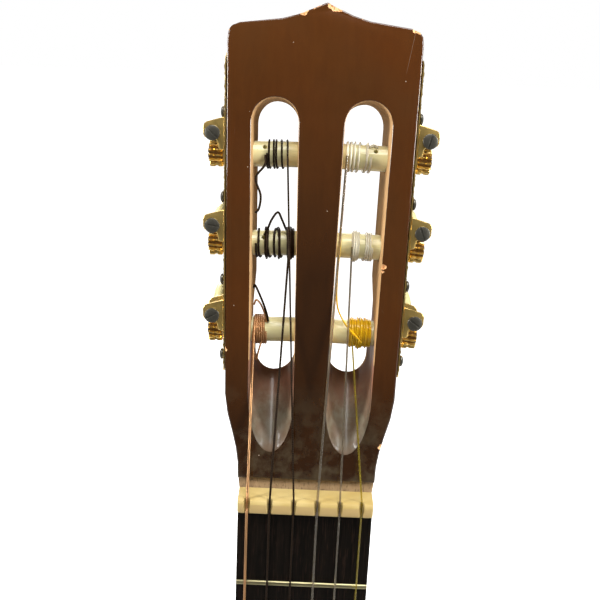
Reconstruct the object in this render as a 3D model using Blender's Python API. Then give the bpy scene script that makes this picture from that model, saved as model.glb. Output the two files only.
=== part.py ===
"""Classical guitar, built piece by piece.

Frame: X runs across the neck (bass side at -X, treble side at +X), +Y goes from
the strings to the back, +Z goes up the neck to the head. The origin is on the
neck's flat top face, under the fingerboard edge of the nut, where a hanger's
yoke carries the guitar. Lengths below are millimetres and are written to the
meshes as metres.

Pieces of the tilted head are laid out in the head's own coordinates: u across,
v up the head's face, w out of the face towards the strings.
"""
import math

import bmesh
import bpy
from mathutils import Matrix, Vector

MM = 0.001
GAP = 0.3                       # clearance between two glued or seated pieces

# Strings, sixth (bass) to first (treble)
STRING_NUMBERS = (6, 5, 4, 3, 2, 1)
STRING_RADIUS = {6: 0.56, 5: 0.455, 4: 0.38, 3: 0.51, 2: 0.41, 1: 0.355}
NUT_X = {6: -23.2, 5: -14.2, 4: -4.7, 3: 4.7, 2: 13.7, 1: 22.4}
ROLLER_X = {6: -23.6, 5: -10.6, 4: -13.4, 3: 10.3, 2: 14.0, 1: 16.4}
SADDLE_SPACING = 11.6
SCALE_LENGTH = 650.0
FRET_COUNT = 19
ACTION_AT_NUT = 0.8             # string over the fret tops, at the nut
ACTION_AT_12 = 3.2              # and over the twelfth fret

# Neck and fingerboard
NUT_HALF_WIDTH = 27.0
NECK_HALF_WIDTH_12 = 31.5
BOARD_TOP = -6.5
BOARD_END = -441.0
FRET_HEIGHT = 1.0
FRET_WIDTH = 2.2
BODY_TOP = -SCALE_LENGTH / 2    # the twelfth fret is at the body
NECK_DEPTH_NUT = 15.5
NECK_DEPTH_HEEL = 17.5
NUT_TOP = -9.1
NUT_LENGTH = 5.8

# Head
HEAD_TILT = math.radians(12.64)
FACE_Y = -0.6                   # where the face plane passes, at v = 0
FACE_Z = 5.0
VENEER = 2.0
HEAD_DEPTH = 21.2
SLOT_HALF_WIDTH = 8.9
SLOT_TOP = 156.5
SLOT_FOOT = 46.0
SLOT_U0, SLOT_V0 = 15.5, 40.0   # a point of the slot's centre line
SIDE_TAPER = math.radians(1.16)
SLOT_TO_SIDE = 18.35
RAMP_TIP = 16.7
RAMP_LENGTH = 22.0

# Tuning machines
ROLLER_V = {4: 135.0, 5: 100.2, 6: 65.2, 3: 135.0, 2: 100.2, 1: 65.2}
ROLLER_DEPTH = 10.1
ROLLER_RADIUS = 5.0
WORM_OUT = SLOT_TO_SIDE + 5.25
WORM_UP = 6.8
WORM_PITCH = 2.2
WORM_TURNS = 3
GEAR_TEETH = 14
GEAR_ROOT, GEAR_TIP = 4.1, 5.3
GEAR_PITCH_RADIUS = GEAR_TEETH * WORM_PITCH / (2 * math.pi)
GEAR_INNER, GEAR_OUTER = SLOT_TO_SIDE + 2.0, SLOT_TO_SIDE + 8.5
WORM_ROOT, WORM_CREST = 1.2, 2.3
WORM_PITCH_RADIUS = WORM_UP - GEAR_PITCH_RADIUS
TOOTH_ROOT_WIDTH, TOOTH_TIP_WIDTH = 1.2, 0.4
PLATE_THICK = 1.2
TAB_THICK = 1.2
TAB_REACH = 8.7

# Body
BODY_LENGTH = 490.0
BODY_FOOT = BODY_TOP - BODY_LENGTH
DEPTH_TOP, DEPTH_FOOT = 94.0, 100.0
PLATE = 2.5
SIDE_THICK = 2.2
BINDING_WIDTH, BINDING_DEPTH = 2.0, 4.0
LINING_WIDTH, LINING_DEPTH = 6.0, 12.0
HOLE_Z = -483.5
HOLE_RADIUS = 42.5
ROSETTE_INNER, ROSETTE_OUTER = 46.0, 58.0
SADDLE_Z = -651.5
SADDLE_TOP = -12.7
BRIDGE_HALF = 93.0
BLOCK_HALF = 41.0


# ---------------------------------------------------------------- meshes
def material(name, colour, roughness, metallic=0.0):
    """A Principled material, made once for each name."""
    mat = bpy.data.materials.get(name)
    if mat is None:
        mat = bpy.data.materials.new(name)
        mat.use_nodes = True
        shader = mat.node_tree.nodes["Principled BSDF"]
        shader.inputs["Base Color"].default_value = (*colour, 1.0)
        shader.inputs["Roughness"].default_value = roughness
        shader.inputs["Metallic"].default_value = metallic
    return mat


def lacquer():
    return material("lacquered_mahogany", (0.12, 0.045, 0.02), 0.25)


def bare_wood():
    return material("bare_cedar", (0.55, 0.33, 0.19), 0.6)


def soundboard_wood():
    return material("spruce", (0.78, 0.52, 0.26), 0.35)


def dark_wood():
    return material("rosewood", (0.09, 0.04, 0.025), 0.4)


def ebony():
    return material("fingerboard_wood", (0.03, 0.02, 0.018), 0.5)


def bone():
    return material("bone", (0.82, 0.74, 0.56), 0.45)


def brass():
    return material("gilt_brass", (0.83, 0.6, 0.25), 0.3, 1.0)


def steel():
    return material("dark_steel", (0.1, 0.1, 0.1), 0.4, 1.0)


def cream_plastic():
    return material("cream_plastic", (0.85, 0.8, 0.66), 0.35)


def nylon():
    return material("nylon", (0.85, 0.83, 0.75), 0.3)


def wound():
    return material("wound_string", (0.35, 0.27, 0.2), 0.35, 1.0)


def add_object(name, mesh_bm, mat, origin=(0.0, 0.0, 0.0)):
    """Write a bmesh drawn in millimetres as a named object with its own origin."""
    bmesh.ops.recalc_face_normals(mesh_bm, faces=mesh_bm.faces)
    shift = Matrix.Translation(-Vector(origin))
    bmesh.ops.transform(mesh_bm, matrix=Matrix.Scale(MM, 4) @ shift, verts=mesh_bm.verts)
    mesh = bpy.data.meshes.new(name)
    mesh_bm.to_mesh(mesh)
    mesh_bm.free()
    mesh.materials.append(mat)
    mesh.shade_smooth()
    mesh.set_sharp_from_angle(angle=math.radians(35))
    obj = bpy.data.objects.new(name, mesh)
    obj.location = Vector(origin) * MM
    bpy.context.scene.collection.objects.link(obj)
    return obj


def cutter(name, mesh_bm):
    """A hidden shape that only cuts or joins another one."""
    obj = add_object(name, mesh_bm, bare_wood())
    obj.hide_render = True
    obj.display_type = "WIRE"
    return obj


def combine(obj, tool, operation):
    """Put an exact Boolean on an object."""
    mod = obj.modifiers.new(tool.name, "BOOLEAN")
    mod.operation = operation
    mod.object = tool
    mod.solver = "EXACT"


def cap(bm, ring):
    bm.faces.new(ring)


def loft(rings, bm=None):
    """Skin closed rings of equal length and cap both ends."""
    bm = bm or bmesh.new()
    rows = [[bm.verts.new(point) for point in ring] for ring in rings]
    count = len(rows[0])
    for row, following in zip(rows, rows[1:]):
        for i in range(count):
            j = (i + 1) % count
            bm.faces.new((row[i], row[j], following[j], following[i]))
    cap(bm, list(reversed(rows[0])))
    cap(bm, rows[-1])
    return bm


def extrude_loops(front_loops, back_loops, bm=None):
    """A slab between two faces that may have holes; first loop is the outside."""
    bm = bm or bmesh.new()
    faces_done = []
    for loops in (front_loops, back_loops):
        rows = [[bm.verts.new(point) for point in loop] for loop in loops]
        edges = []
        for row in rows:
            for i, vert in enumerate(row):
                edges.append(bm.edges.new((vert, row[(i + 1) % len(row)])))
        bmesh.ops.triangle_fill(bm, edges=edges, use_beauty=True)
        faces_done.append(rows)
    for front, back in zip(*faces_done):
        for i in range(len(front)):
            j = (i + 1) % len(front)
            bm.faces.new((front[i], front[j], back[j], back[i]))
    return bm


def circle_points(radius, count, phase=0.0):
    step = 2 * math.pi / count
    return [(radius * math.cos(i * step + phase), radius * math.sin(i * step + phase))
            for i in range(count)]


def box(x0, x1, y0, y1, z0, z1, bm=None):
    base = [(x0, y0, z0), (x1, y0, z0), (x1, y1, z0), (x0, y1, z0)]
    top = [(x, y, z1) for x, y, _ in base]
    return loft([base, top], bm)


def smooth(t):
    t = min(1.0, max(0.0, t))
    return t * t * (3 - 2 * t)


def between(table, value):
    """Straight-line reading of a short table of (position, size) pairs."""
    for (a, size_a), (b, size_b) in zip(table, table[1:]):
        if value <= b:
            t = (value - a) / (b - a)
            return size_a + (size_b - size_a) * max(0.0, t)
    return table[-1][1]


# ---------------------------------------------------------------- head frame
def on_head(u, v, w):
    """World point of a point of the tilted head."""
    sin, cos = math.sin(HEAD_TILT), math.cos(HEAD_TILT)
    return (u, FACE_Y + v * sin - w * cos, FACE_Z + v * cos + w * sin)


def slot_u(v):
    return SLOT_U0 + (v - SLOT_V0) * math.tan(SIDE_TAPER)


def station(side, v, out, up, w):
    """Point near a tuner: out from the slot's centre line, up along the head's side."""
    sin, cos = math.sin(SIDE_TAPER), math.cos(SIDE_TAPER)
    u = side * (slot_u(v) + out * cos + up * sin)
    return on_head(u, v - out * sin + up * cos, w)


def string_side(number):
    return -1 if number > 3 else 1


def turned(profile, place, sides):
    """Round piece from (distance along the axis, radius) pairs."""
    rings = []
    for along, radius in profile:
        rings.append([place(along, a, b) for a, b in circle_points(radius, sides)])
    return loft(rings)


# ---------------------------------------------------------------- head
HEAD_HALF_WIDTHS = [(0.0, 27.0), (5.0, 27.8), (12.0, 28.1), (18.0, 29.0), (24.0, 30.5),
                    (32.0, 32.7), (40.0, 33.9), (170.0, 36.5), (176.0, 36.5),
                    (179.0, 36.1), (180.6, 34.9), (181.8, 32.0), (183.8, 16.4),
                    (184.6, 13.5), (185.6, 10.0), (188.0, 4.2), (189.8, 0.4)]


def head_half_width(v):
    return between(HEAD_HALF_WIDTHS, v)


def round_backed_ring(half_width, depth, power, place, steps=14):
    """Flat-fronted ring whose back goes from a D to nearly a rectangle."""
    ring = []
    for i in range(steps + 1):
        angle = math.pi * i / steps
        cos, sin = math.cos(angle), math.sin(angle)
        across = math.copysign(abs(cos) ** (2 / power), cos) * half_width
        ring.append(place(across, depth * abs(sin) ** (2 / power)))
    return ring


def headstock():
    """Core of the head, from the square cut under the nut to the carved peak."""
    seat = [(0.15, 0.8, 0.0, 14.7, 2.4), (4.9, 0.8, 3.0, 15.0, 2.5)]
    rings = []
    for z, y, tilt, depth, power in seat:
        lean = math.radians(tilt)
        rings.append(round_backed_ring(
            NUT_HALF_WIDTH, depth, power,
            lambda x, d, y=y, z=z, a=lean: (x, y + d * math.cos(a), z - d * math.sin(a))))
    stations = [4.0, 8.0, 12.0, 18.0, 24.0, 32.0, 40.0]
    stations += [v for v, _ in HEAD_HALF_WIDTHS if v > 41.0]
    for v in stations:
        blend = smooth((v - 4.0) / 34.0)
        depth = 14.2 + (HEAD_DEPTH - VENEER - GAP - 14.2) * blend
        lean = math.radians(6.0) + (HEAD_TILT - math.radians(6.0)) * blend
        power = 2.8 + 10.0 * blend
        _, y, z = on_head(0.0, v, -VENEER - GAP)
        rings.append(round_backed_ring(
            head_half_width(v), depth, power,
            lambda x, d, y=y, z=z, a=lean: (x, y + d * math.cos(a), z - d * math.sin(a))))
    head = add_object("headstock", loft(rings), lacquer())
    combine(head, cutter("cut_core_slots", slot_shapes()), "DIFFERENCE")
    combine(head, cutter("cut_core_ramps", ramp_shapes()), "DIFFERENCE")
    combine(head, cutter("cut_roller_bores", bore_shapes()), "DIFFERENCE")


def slot_shapes(steps=7):
    """The two long slots, one round-ended prism each, right through the head."""
    bm = bmesh.new()
    foot, top = SLOT_FOOT + SLOT_HALF_WIDTH, SLOT_TOP - SLOT_HALF_WIDTH
    for side in (-1, 1):
        outline = []
        for centre, start in ((top, 0.0), (foot, math.pi)):
            for i in range(steps + 1):
                angle = start + math.pi * i / steps
                outline.append((SLOT_HALF_WIDTH * math.cos(angle), centre - SLOT_V0
                                + SLOT_HALF_WIDTH * math.sin(angle)))
        rings = [[station(side, SLOT_V0, a, t, w) for a, t in outline] for w in (6.0, -30.0)]
        loft(rings, bm)
    return bm


def ramp_shapes(steps=10):
    """String ramps: half-ellipses swept from the face down to the slot's foot."""
    bm = bmesh.new()
    half = SLOT_HALF_WIDTH - 0.1
    slope = (SLOT_FOOT - RAMP_TIP) / HEAD_DEPTH
    for side in (-1, 1):
        outline = [(half, 42.0), (-half, 42.0)]
        for i in range(steps + 1):
            angle = math.pi * i / steps
            outline.append((-half * math.cos(angle), RAMP_LENGTH * (1 - math.sin(angle))))
        rings = []
        for w in (8.0, -24.0):
            shift = RAMP_TIP - SLOT_V0 - w * slope
            rings.append([station(side, SLOT_V0, a, t + shift, w) for a, t in outline])
        loft(rings, bm)
    return bm


def roller_place(number):
    """Placing function for anything turned about a roller's axis."""
    side, v = string_side(number), ROLLER_V[number]
    return lambda out, a, b: station(side, v, out, a, b - ROLLER_DEPTH)


def bore_shapes():
    """Stepped bores: a wide one in the outer wall, a small one in the middle rib."""
    bm = bmesh.new()
    for number in STRING_NUMBERS:
        place = roller_place(number)
        rings = []
        for out, radius in ((-14.0, 1.75), (0.0, 1.75), (0.2, 5.35), (24.0, 5.35)):
            rings.append([place(out, a, b) for a, b in circle_points(radius, 16)])
        loft(rings, bm)
    return bm


def head_veneer():
    """Thin face of the head, with the same slots and ramps."""
    outline = [(head_half_width(v), v) for v in (5.3, 12.0, 18.0, 24.0, 32.0, 40.0)]
    outline += [(width, v) for v, width in HEAD_HALF_WIDTHS if v > 41.0]
    loop = outline + [(-u, v) for u, v in reversed(outline)]
    rings = [[on_head(u, v, w) for u, v in loop] for w in (0.0, -VENEER)]
    veneer = add_object("head_veneer", loft(rings), lacquer())
    combine(veneer, bpy.data.objects["cut_core_slots"], "DIFFERENCE")
    combine(veneer, bpy.data.objects["cut_core_ramps"], "DIFFERENCE")


# ---------------------------------------------------------------- neck
def board_half_width(z):
    return NUT_HALF_WIDTH + (NECK_HALF_WIDTH_12 - NUT_HALF_WIDTH) * z / BODY_TOP


def neck():
    """Shaft with a D section, joined to the heel that meets the body."""
    rings = []
    for z in (-GAP / 2, -90.0, -180.0, -270.0, BODY_TOP + GAP):
        share = z / BODY_TOP
        depth = NECK_DEPTH_NUT + (NECK_DEPTH_HEEL - NECK_DEPTH_NUT) * share
        rings.append(round_backed_ring(board_half_width(z), depth, 2.4,
                                       lambda x, d, z=z: (x, d, z)))
    shaft = add_object("neck", loft(rings), lacquer())
    combine(shaft, cutter("join_heel", heel_shape()), "UNION")


HEEL_SHAPE = [(9.0, 26.0, 62.0), (16.0, 28.5, 50.0), (22.0, 26.0, 39.0), (30.0, 22.0, 29.5),
              (42.0, 18.0, 21.5), (58.0, 14.8, 16.5), (76.0, 12.8, 13.5), (90.6, 12.0, 12.4)]


def heel_ring(y, half_width, reach, steps=10):
    base = BODY_TOP + GAP - 0.05
    return [(half_width * math.cos(math.pi * i / steps), y,
             base + reach * math.sin(math.pi * i / steps)) for i in range(steps + 1)]


def heel_shape():
    return loft([heel_ring(*row) for row in HEEL_SHAPE])


def heel_cap():
    y, half_width, reach = HEEL_SHAPE[-1]
    rings = [heel_ring(y + GAP + d, half_width, reach) for d in (0.0, 2.5)]
    add_object("heel_cap", loft(rings), dark_wood())


def fret_z(number):
    return -SCALE_LENGTH * (1 - 2 ** (-number / 12))


def fingerboard():
    """Board and its pressed-in frets, from one side view drawn across the taper."""
    crown = [(0.5, 0.0), (0.36, 0.7), (0.0, 1.0), (-0.36, 0.7), (-0.5, 0.0)]
    profile = [(-GAP, -GAP), (-GAP, BOARD_TOP)]
    for number in range(1, FRET_COUNT + 1):
        for along, high in crown:
            profile.append((fret_z(number) + along * FRET_WIDTH,
                            BOARD_TOP - high * FRET_HEIGHT))
    profile += [(BOARD_END, BOARD_TOP), (BOARD_END, -GAP)]
    rings = [[(side * board_half_width(z), y, z) for z, y in profile] for side in (-1, 1)]
    add_object("fingerboard", loft(rings), ebony())


def nut():
    """Bone nut with one sloping slot for each string."""
    profile = [(0.0, 0.5), (0.0, NUT_TOP + 0.3), (0.4, NUT_TOP), (4.6, NUT_TOP),
               (NUT_LENGTH, NUT_TOP + 1.0), (NUT_LENGTH, 0.5)]
    rings = [[(x, y, z) for z, y in profile] for x in (-NUT_HALF_WIDTH, NUT_HALF_WIDTH)]
    piece = add_object("nut", loft(rings), bone())
    bm = bmesh.new()
    for number in STRING_NUMBERS:
        half = STRING_RADIUS[number] + GAP
        floor = BOARD_TOP - FRET_HEIGHT - ACTION_AT_NUT + GAP
        slot = [(-2.0, floor), (1.2, floor), (8.0, floor + 6.8 * 0.47), (8.0, -14.0),
                (-2.0, -14.0)]
        x = NUT_X[number]
        loft([[(x - half, y, z) for z, y in slot], [(x + half, y, z) for z, y in slot]], bm)
    combine(piece, cutter("cut_nut_slots", bm), "DIFFERENCE")


# ---------------------------------------------------------------- tuners
def tuner_plate(side, name):
    """Side plate with three pairs of folded tabs that carry the worm shafts."""
    numbers = [n for n in STRING_NUMBERS if string_side(n) == side]
    front, rear = -0.6, -19.6
    inner = SLOT_TO_SIDE + GAP
    outline = [(11.0, front), (130.0, front), (131.5, -3.0), (131.5, -17.2), (130.0, rear),
               (11.0, rear), (9.5, -17.2), (9.5, -3.0)]
    rings = []
    for out in (inner, inner + PLATE_THICK):
        rings.append([station(side, SLOT_V0, out, t, w) for t, w in outline])
    plate = add_object(name, loft(rings), brass())
    tabs, holes = bmesh.new(), bmesh.new()
    tab = [(inner + 0.4, 0.8), (TAB_REACH + SLOT_TO_SIDE - 2.0, 1.6),
           (TAB_REACH + SLOT_TO_SIDE, 3.6), (TAB_REACH + SLOT_TO_SIDE, 9.6),
           (TAB_REACH + SLOT_TO_SIDE - 2.0, 11.4), (inner + 0.4, 12.0)]
    for number in numbers:
        v = ROLLER_V[number]
        for w in (front - 0.05, rear + TAB_THICK - 0.05):
            loft([[station(side, v, q, t, w) for q, t in tab],
                  [station(side, v, q, t, w - TAB_THICK + 0.1) for q, t in tab]], tabs)
        loft([[station(side, v, WORM_OUT + a, WORM_UP + b, w)
               for a, b in circle_points(1.8, 10)] for w in (3.0, -22.5)], holes)
        place = roller_place(number)
        loft([[place(out, a, b) for a, b in circle_points(2.5, 12)] for out in (17.0, 22.0)],
             holes)
    combine(plate, cutter("join_tabs_" + name, tabs), "UNION")
    combine(plate, cutter("cut_journals_" + name, holes), "DIFFERENCE")


def roller(number):
    """Plastic string roller on its steel pin, from the middle rib out to the gear."""
    profile = [(-13.2, 1.4), (-8.4, 1.4), (-8.4, ROLLER_RADIUS), (18.0, ROLLER_RADIUS),
               (18.0, 1.9), (GEAR_OUTER - 0.8, 1.9)]
    origin = roller_place(number)(0.0, 0.0, 0.0)
    add_object(f"roller_{number}", turned(profile, roller_place(number), 14),
               cream_plastic(), origin)


def gear_outline(twist):
    """Tooth profile round the roller's axis, turned by a twist angle."""
    points = []
    for tooth in range(GEAR_TEETH):
        middle = math.pi * 2 * tooth / GEAR_TEETH + twist
        for radius, width in ((GEAR_ROOT, -TOOTH_ROOT_WIDTH), (GEAR_TIP, -TOOTH_TIP_WIDTH),
                              (GEAR_TIP, TOOTH_TIP_WIDTH), (GEAR_ROOT, TOOTH_ROOT_WIDTH)):
            angle = middle + width / 2 / radius
            points.append((radius * math.cos(angle), radius * math.sin(angle)))
    return points


def gear(number):
    """Brass gear with teeth slanted to the worm's lead."""
    side = string_side(number)
    place = roller_place(number)
    slant = WORM_PITCH / (2 * math.pi * WORM_PITCH_RADIUS)
    loops = []
    for out in (GEAR_INNER, GEAR_OUTER):
        twist = side * (out - WORM_OUT) * slant / GEAR_PITCH_RADIUS
        teeth = [place(out, a, b) for a, b in gear_outline(twist)]
        hole = [place(out, a, b) for a, b in circle_points(2.3, 10)]
        loops.append([teeth, hole])
    add_object(f"gear_{number}", extrude_loops(*loops), brass(), place(0.0, 0.0, 0.0))


def worm_place(number):
    side, v = string_side(number), ROLLER_V[number]
    return lambda w, a, b: station(side, v, WORM_OUT + a, WORM_UP + b, w)


def worm_shaft(number, columns=10):
    """Steel shaft: button end, thread over the gear, slotted disc at the front."""
    place = worm_place(number)
    side = string_side(number)
    start = -ROLLER_DEPTH - WORM_PITCH * WORM_TURNS / 2 - TOOTH_ROOT_WIDTH / 2
    finish = start + WORM_PITCH * WORM_TURNS + TOOTH_ROOT_WIDTH
    offsets = [(0.0, WORM_ROOT), ((TOOTH_ROOT_WIDTH - TOOTH_TIP_WIDTH) / 2, WORM_CREST),
               ((TOOTH_ROOT_WIDTH + TOOTH_TIP_WIDTH) / 2, WORM_CREST),
               (TOOTH_ROOT_WIDTH, WORM_ROOT)]

    def point(k, height, radius):
        angle = 2 * math.pi * k / columns - math.pi / 2
        return place(height, side * radius * math.cos(angle), radius * math.sin(angle))

    bm = bmesh.new()
    rear = [(-36.0, 1.4), (-21.6, 1.4), (-21.6, 2.3), (-20.1, 2.3), (-20.1, 1.4),
            (start - 1.0, 1.4), (start - 0.6, WORM_ROOT)]
    front = [(finish + 0.6, WORM_ROOT), (finish + 1.0, 1.4), (-0.3, 1.4), (-0.3, 2.6),
             (0.8, 2.6)]
    rings = {}
    for label, rows in (("rear", rear), ("front", front)):
        rings[label] = [[bm.verts.new(point(k, h, r)) for k in range(columns)]
                        for h, r in rows]
        for row, following in zip(rings[label], rings[label][1:]):
            for k in range(columns):
                j = (k + 1) % columns
                bm.faces.new((row[k], row[j], following[j], following[k]))
    cap(bm, rings["rear"][0])
    cap(bm, rings["front"][-1])
    total = WORM_TURNS * columns
    thread = [[bm.verts.new(point(k, start + WORM_PITCH * k / columns + h, r))
               for h, r in offsets] for k in range(total + 1)]
    for k in range(total):
        for i in range(3):
            bm.faces.new((thread[k][i], thread[k + 1][i], thread[k + 1][i + 1],
                          thread[k][i + 1]))
    for k in range(total + 1 - columns):
        if k < total - columns:
            bm.faces.new((thread[k][3], thread[k + 1][3], thread[k + columns + 1][0],
                          thread[k + columns][0]))
    close_thread(bm, thread, rings["rear"][-1], rings["front"][0], columns)
    add_object(f"worm_shaft_{number}", bm, steel(), place(-ROLLER_DEPTH, 0.0, 0.0))


def close_thread(bm, thread, below, above, columns):
    """Join the thread's two runouts to the plain rings beside them."""
    last = len(thread) - 1
    for k in range(columns - 1):
        bm.faces.new((below[k], below[k + 1], thread[k + 1][0], thread[k][0]))
        top = last - columns + 1 + k
        bm.faces.new((thread[top][3], thread[top + 1][3], above[(top + 1) % columns],
                      above[top % columns]))
    bm.faces.new((below[columns - 1], below[0], thread[0][0], thread[0][3],
                  thread[columns][0], thread[columns - 1][0]))
    first = last - columns
    bm.faces.new((thread[first][3], thread[first + 1][3], above[(first + 1) % columns],
                  above[last % columns], thread[last][3], thread[last][0]))
    cap(bm, thread[0])
    cap(bm, thread[last])


BUTTON_SHAPE = [(-23.4, 3.4, 3.4), (-26.5, 3.9, 3.3), (-31.0, 7.2, 3.5), (-37.0, 9.2, 4.1),
                (-42.5, 9.4, 3.8), (-45.0, 7.6, 2.4)]


def button(number, sides=10):
    """Flared cream button with a blind hole for the shaft."""
    place = worm_place(number)
    rings = [[place(w, a, b) for a, b in circle_points(1.75, sides)] for w in (-36.8, -23.4)]
    for w, tall, thick in BUTTON_SHAPE:
        rings.append([place(w, a * thick, b * tall) for a, b in circle_points(1.0, sides)])
    add_object(f"button_{number}", loft(rings), cream_plastic(),
               place(-ROLLER_DEPTH, 0.0, 0.0))


# ---------------------------------------------------------------- body outline
OUTLINE = [((0.0, 0.0), (85.0, 0.0), (140.0, 33.0), (140.0, 95.0)),
           ((140.0, 95.0), (140.0, 130.0), (117.5, 155.0), (117.5, 192.0)),
           ((117.5, 192.0), (117.5, 240.0), (185.0, 295.0), (185.0, 372.0)),
           ((185.0, 372.0), (185.0, 450.0), (95.0, 490.0), (0.0, 490.0))]


def bezier(points, t):
    a, b, c, d = points
    u = 1 - t
    return tuple(u ** 3 * a[i] + 3 * u * u * t * b[i] + 3 * u * t * t * c[i] + t ** 3 * d[i]
                 for i in (0, 1))


def half_outline(inset, steps=7):
    """(x, z) down one side of the body, moved inwards by an inset."""
    path = []
    for segment in OUTLINE:
        path += [bezier(segment, i / steps) for i in range(steps)]
    path.append(OUTLINE[-1][-1])
    mirrored_start = (-path[1][0], path[1][1])
    mirrored_end = (-path[-2][0], path[-2][1])
    extended = [mirrored_start] + path + [mirrored_end]
    inner = []
    for before, here, after in zip(extended, extended[1:], extended[2:]):
        along = Vector((after[0] - before[0], after[1] - before[1])).normalized()
        inner.append((here[0] - along.y * inset, here[1] + along.x * inset))
    return [(x, BODY_TOP - down) for x, down in inner]


def trimmed(path, top_x, foot_x):
    """Keep the part of a half outline beyond top_x and foot_x from the middle."""
    points = list(path)
    for _, limit in ((0, top_x), (1, foot_x)):
        index = next(i for i, p in enumerate(points) if p[0] > limit)
        (xa, za), (xb, zb) = points[index - 1], points[index]
        t = (limit - xa) / (xb - xa)
        points = [(limit, za + t * (zb - za))] + points[index:]
        points.reverse()
    return points


def half_width_at(z, inset):
    path = half_outline(inset)
    for (xa, za), (xb, zb) in zip(path, path[1:]):
        if zb <= z <= za and za != zb:
            return xa + (xb - xa) * (z - za) / (zb - za)
    return path[-1][0]


def full_outline(inset):
    half = half_outline(inset)
    return half + [(-x, z) for x, z in reversed(half[1:-1])]


def back_y(z):
    """Outer face of the back: flat, and deeper at the foot than at the neck."""
    return DEPTH_TOP + (DEPTH_FOOT - DEPTH_TOP) * (BODY_TOP - z) / BODY_LENGTH


def soundboard():
    outline = full_outline(BINDING_WIDTH + GAP)
    hole = [(a, b + HOLE_Z) for a, b in circle_points(HOLE_RADIUS, 28)]
    loops = [[[(x, y, z) for x, z in loop] for loop in (outline, hole)]
             for y in (0.0, PLATE)]
    board = add_object("soundboard", extrude_loops(*loops), soundboard_wood())
    groove = ring_shape(ROSETTE_INNER - GAP, ROSETTE_OUTER + GAP, -1.0, 1.1)
    combine(board, cutter("cut_rosette_groove", groove), "DIFFERENCE")


def ring_shape(inner, outer, y0, y1, count=28):
    loops = []
    for y in (y0, y1):
        loops.append([[(a, y, b + HOLE_Z) for a, b in circle_points(outer, count)],
                      [(a, y, b + HOLE_Z) for a, b in circle_points(inner, count)]])
    bm = bmesh.new()
    rows = [[[bm.verts.new(p) for p in loop] for loop in pair] for pair in loops]
    corners = [rows[0][0], rows[1][0], rows[1][1], rows[0][1]]
    for row, following in zip(corners, corners[1:] + corners[:1]):
        for i in range(count):
            j = (i + 1) % count
            bm.faces.new((row[i], row[j], following[j], following[i]))
    return bm


def rosette():
    add_object("rosette", ring_shape(ROSETTE_INNER, ROSETTE_OUTER, 0.0, 0.8),
               material("rosette_mosaic", (0.35, 0.2, 0.1), 0.4))


def back_plate():
    outline = full_outline(BINDING_WIDTH + GAP)
    rings = [[(x, back_y(z) - d, z) for x, z in outline] for d in (PLATE, 0.0)]
    add_object("back_plate", loft(rings), dark_wood())


def strip(name, side, paths, heights, mat):
    """Bent strip that follows the body; heights give y at each of its corners."""
    rows = []
    for points in zip(*paths):
        rows.append([(side * x, height(z), z) for (x, z), height in zip(points, heights)])
    add_object(name, loft(rows), mat)


def rib(side, name):
    """One bent side of the body."""
    outer = trimmed(half_outline(0.0), 0.15, 10.3)
    inner = trimmed(half_outline(SIDE_THICK), 0.15, 10.3)
    margin = BINDING_DEPTH + GAP
    strip(name, side, (outer, inner, inner, outer),
          (lambda z: margin, lambda z: margin, lambda z: back_y(z) - margin,
           lambda z: back_y(z) - margin), dark_wood())


def lining(side, name, at_back):
    """Glue strip in the corner between a side and a plate."""
    near = trimmed(half_outline(SIDE_THICK + GAP), 32.0, 42.0)
    far = trimmed(half_outline(SIDE_THICK + GAP + LINING_WIDTH), 32.0, 42.0)
    flat, toe, tall = PLATE + GAP, PLATE + GAP + 3.0, PLATE + GAP + LINING_DEPTH
    depths = (flat, flat, toe, tall)
    if at_back:
        heights = [lambda z, d=d: back_y(z) - d for d in depths]
    else:
        heights = [lambda z, d=d: d for d in depths]
    strip(name, side, (near, far, far, near), heights, bare_wood())


def binding(name, at_back):
    """Edge strip that covers the seam all round, split only at the heel."""
    outer, inner = full_outline(0.0), full_outline(BINDING_WIDTH)
    bm = bmesh.new()
    rows = []
    for (xo, zo), (xi, zi) in zip(outer, inner):
        depths = (0.0, BINDING_DEPTH)
        row = []
        for x, z, order in ((xo, zo, depths), (xi, zi, depths[::-1])):
            for d in order:
                row.append((x, back_y(z) - d if at_back else d, z))
        rows.append([bm.verts.new(p) for p in row])
    for row, following in zip(rows, rows[1:] + rows[:1]):
        for i in range(4):
            j = (i + 1) % 4
            bm.faces.new((row[i], row[j], following[j], following[i]))
    add_object(name, bm, dark_wood())


def end_block(name, at_neck, half_width, length):
    """Block that ties sides, plates and neck (or tail) together inside."""
    end = 0 if at_neck else -1
    path = half_outline(SIDE_THICK + GAP)
    middle = path[end][1]
    corner = trimmed(path, half_width, half_width)[end][1]
    deep = middle - length if at_neck else middle + length
    outline = [(0.0, middle), (half_width, corner), (half_width, deep),
               (-half_width, deep), (-half_width, corner)]
    margin = PLATE + GAP
    rings = [[(x, margin, z) for x, z in outline],
             [(x, back_y(z) - margin, z) for x, z in outline]]
    add_object(name, loft(rings), bare_wood())


def end_graft():
    """Flat wedge that closes the seam of the two sides at the tail."""
    margin = BINDING_DEPTH + GAP
    foot = BODY_FOOT
    rings = [[(x, y, z) for x, y in ((-10.0, margin), (10.0, margin),
                                     (7.0, back_y(foot) - margin),
                                     (-7.0, back_y(foot) - margin))]
             for z in (foot, foot + SIDE_THICK)]
    add_object("end_graft", loft(rings), dark_wood())


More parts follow.
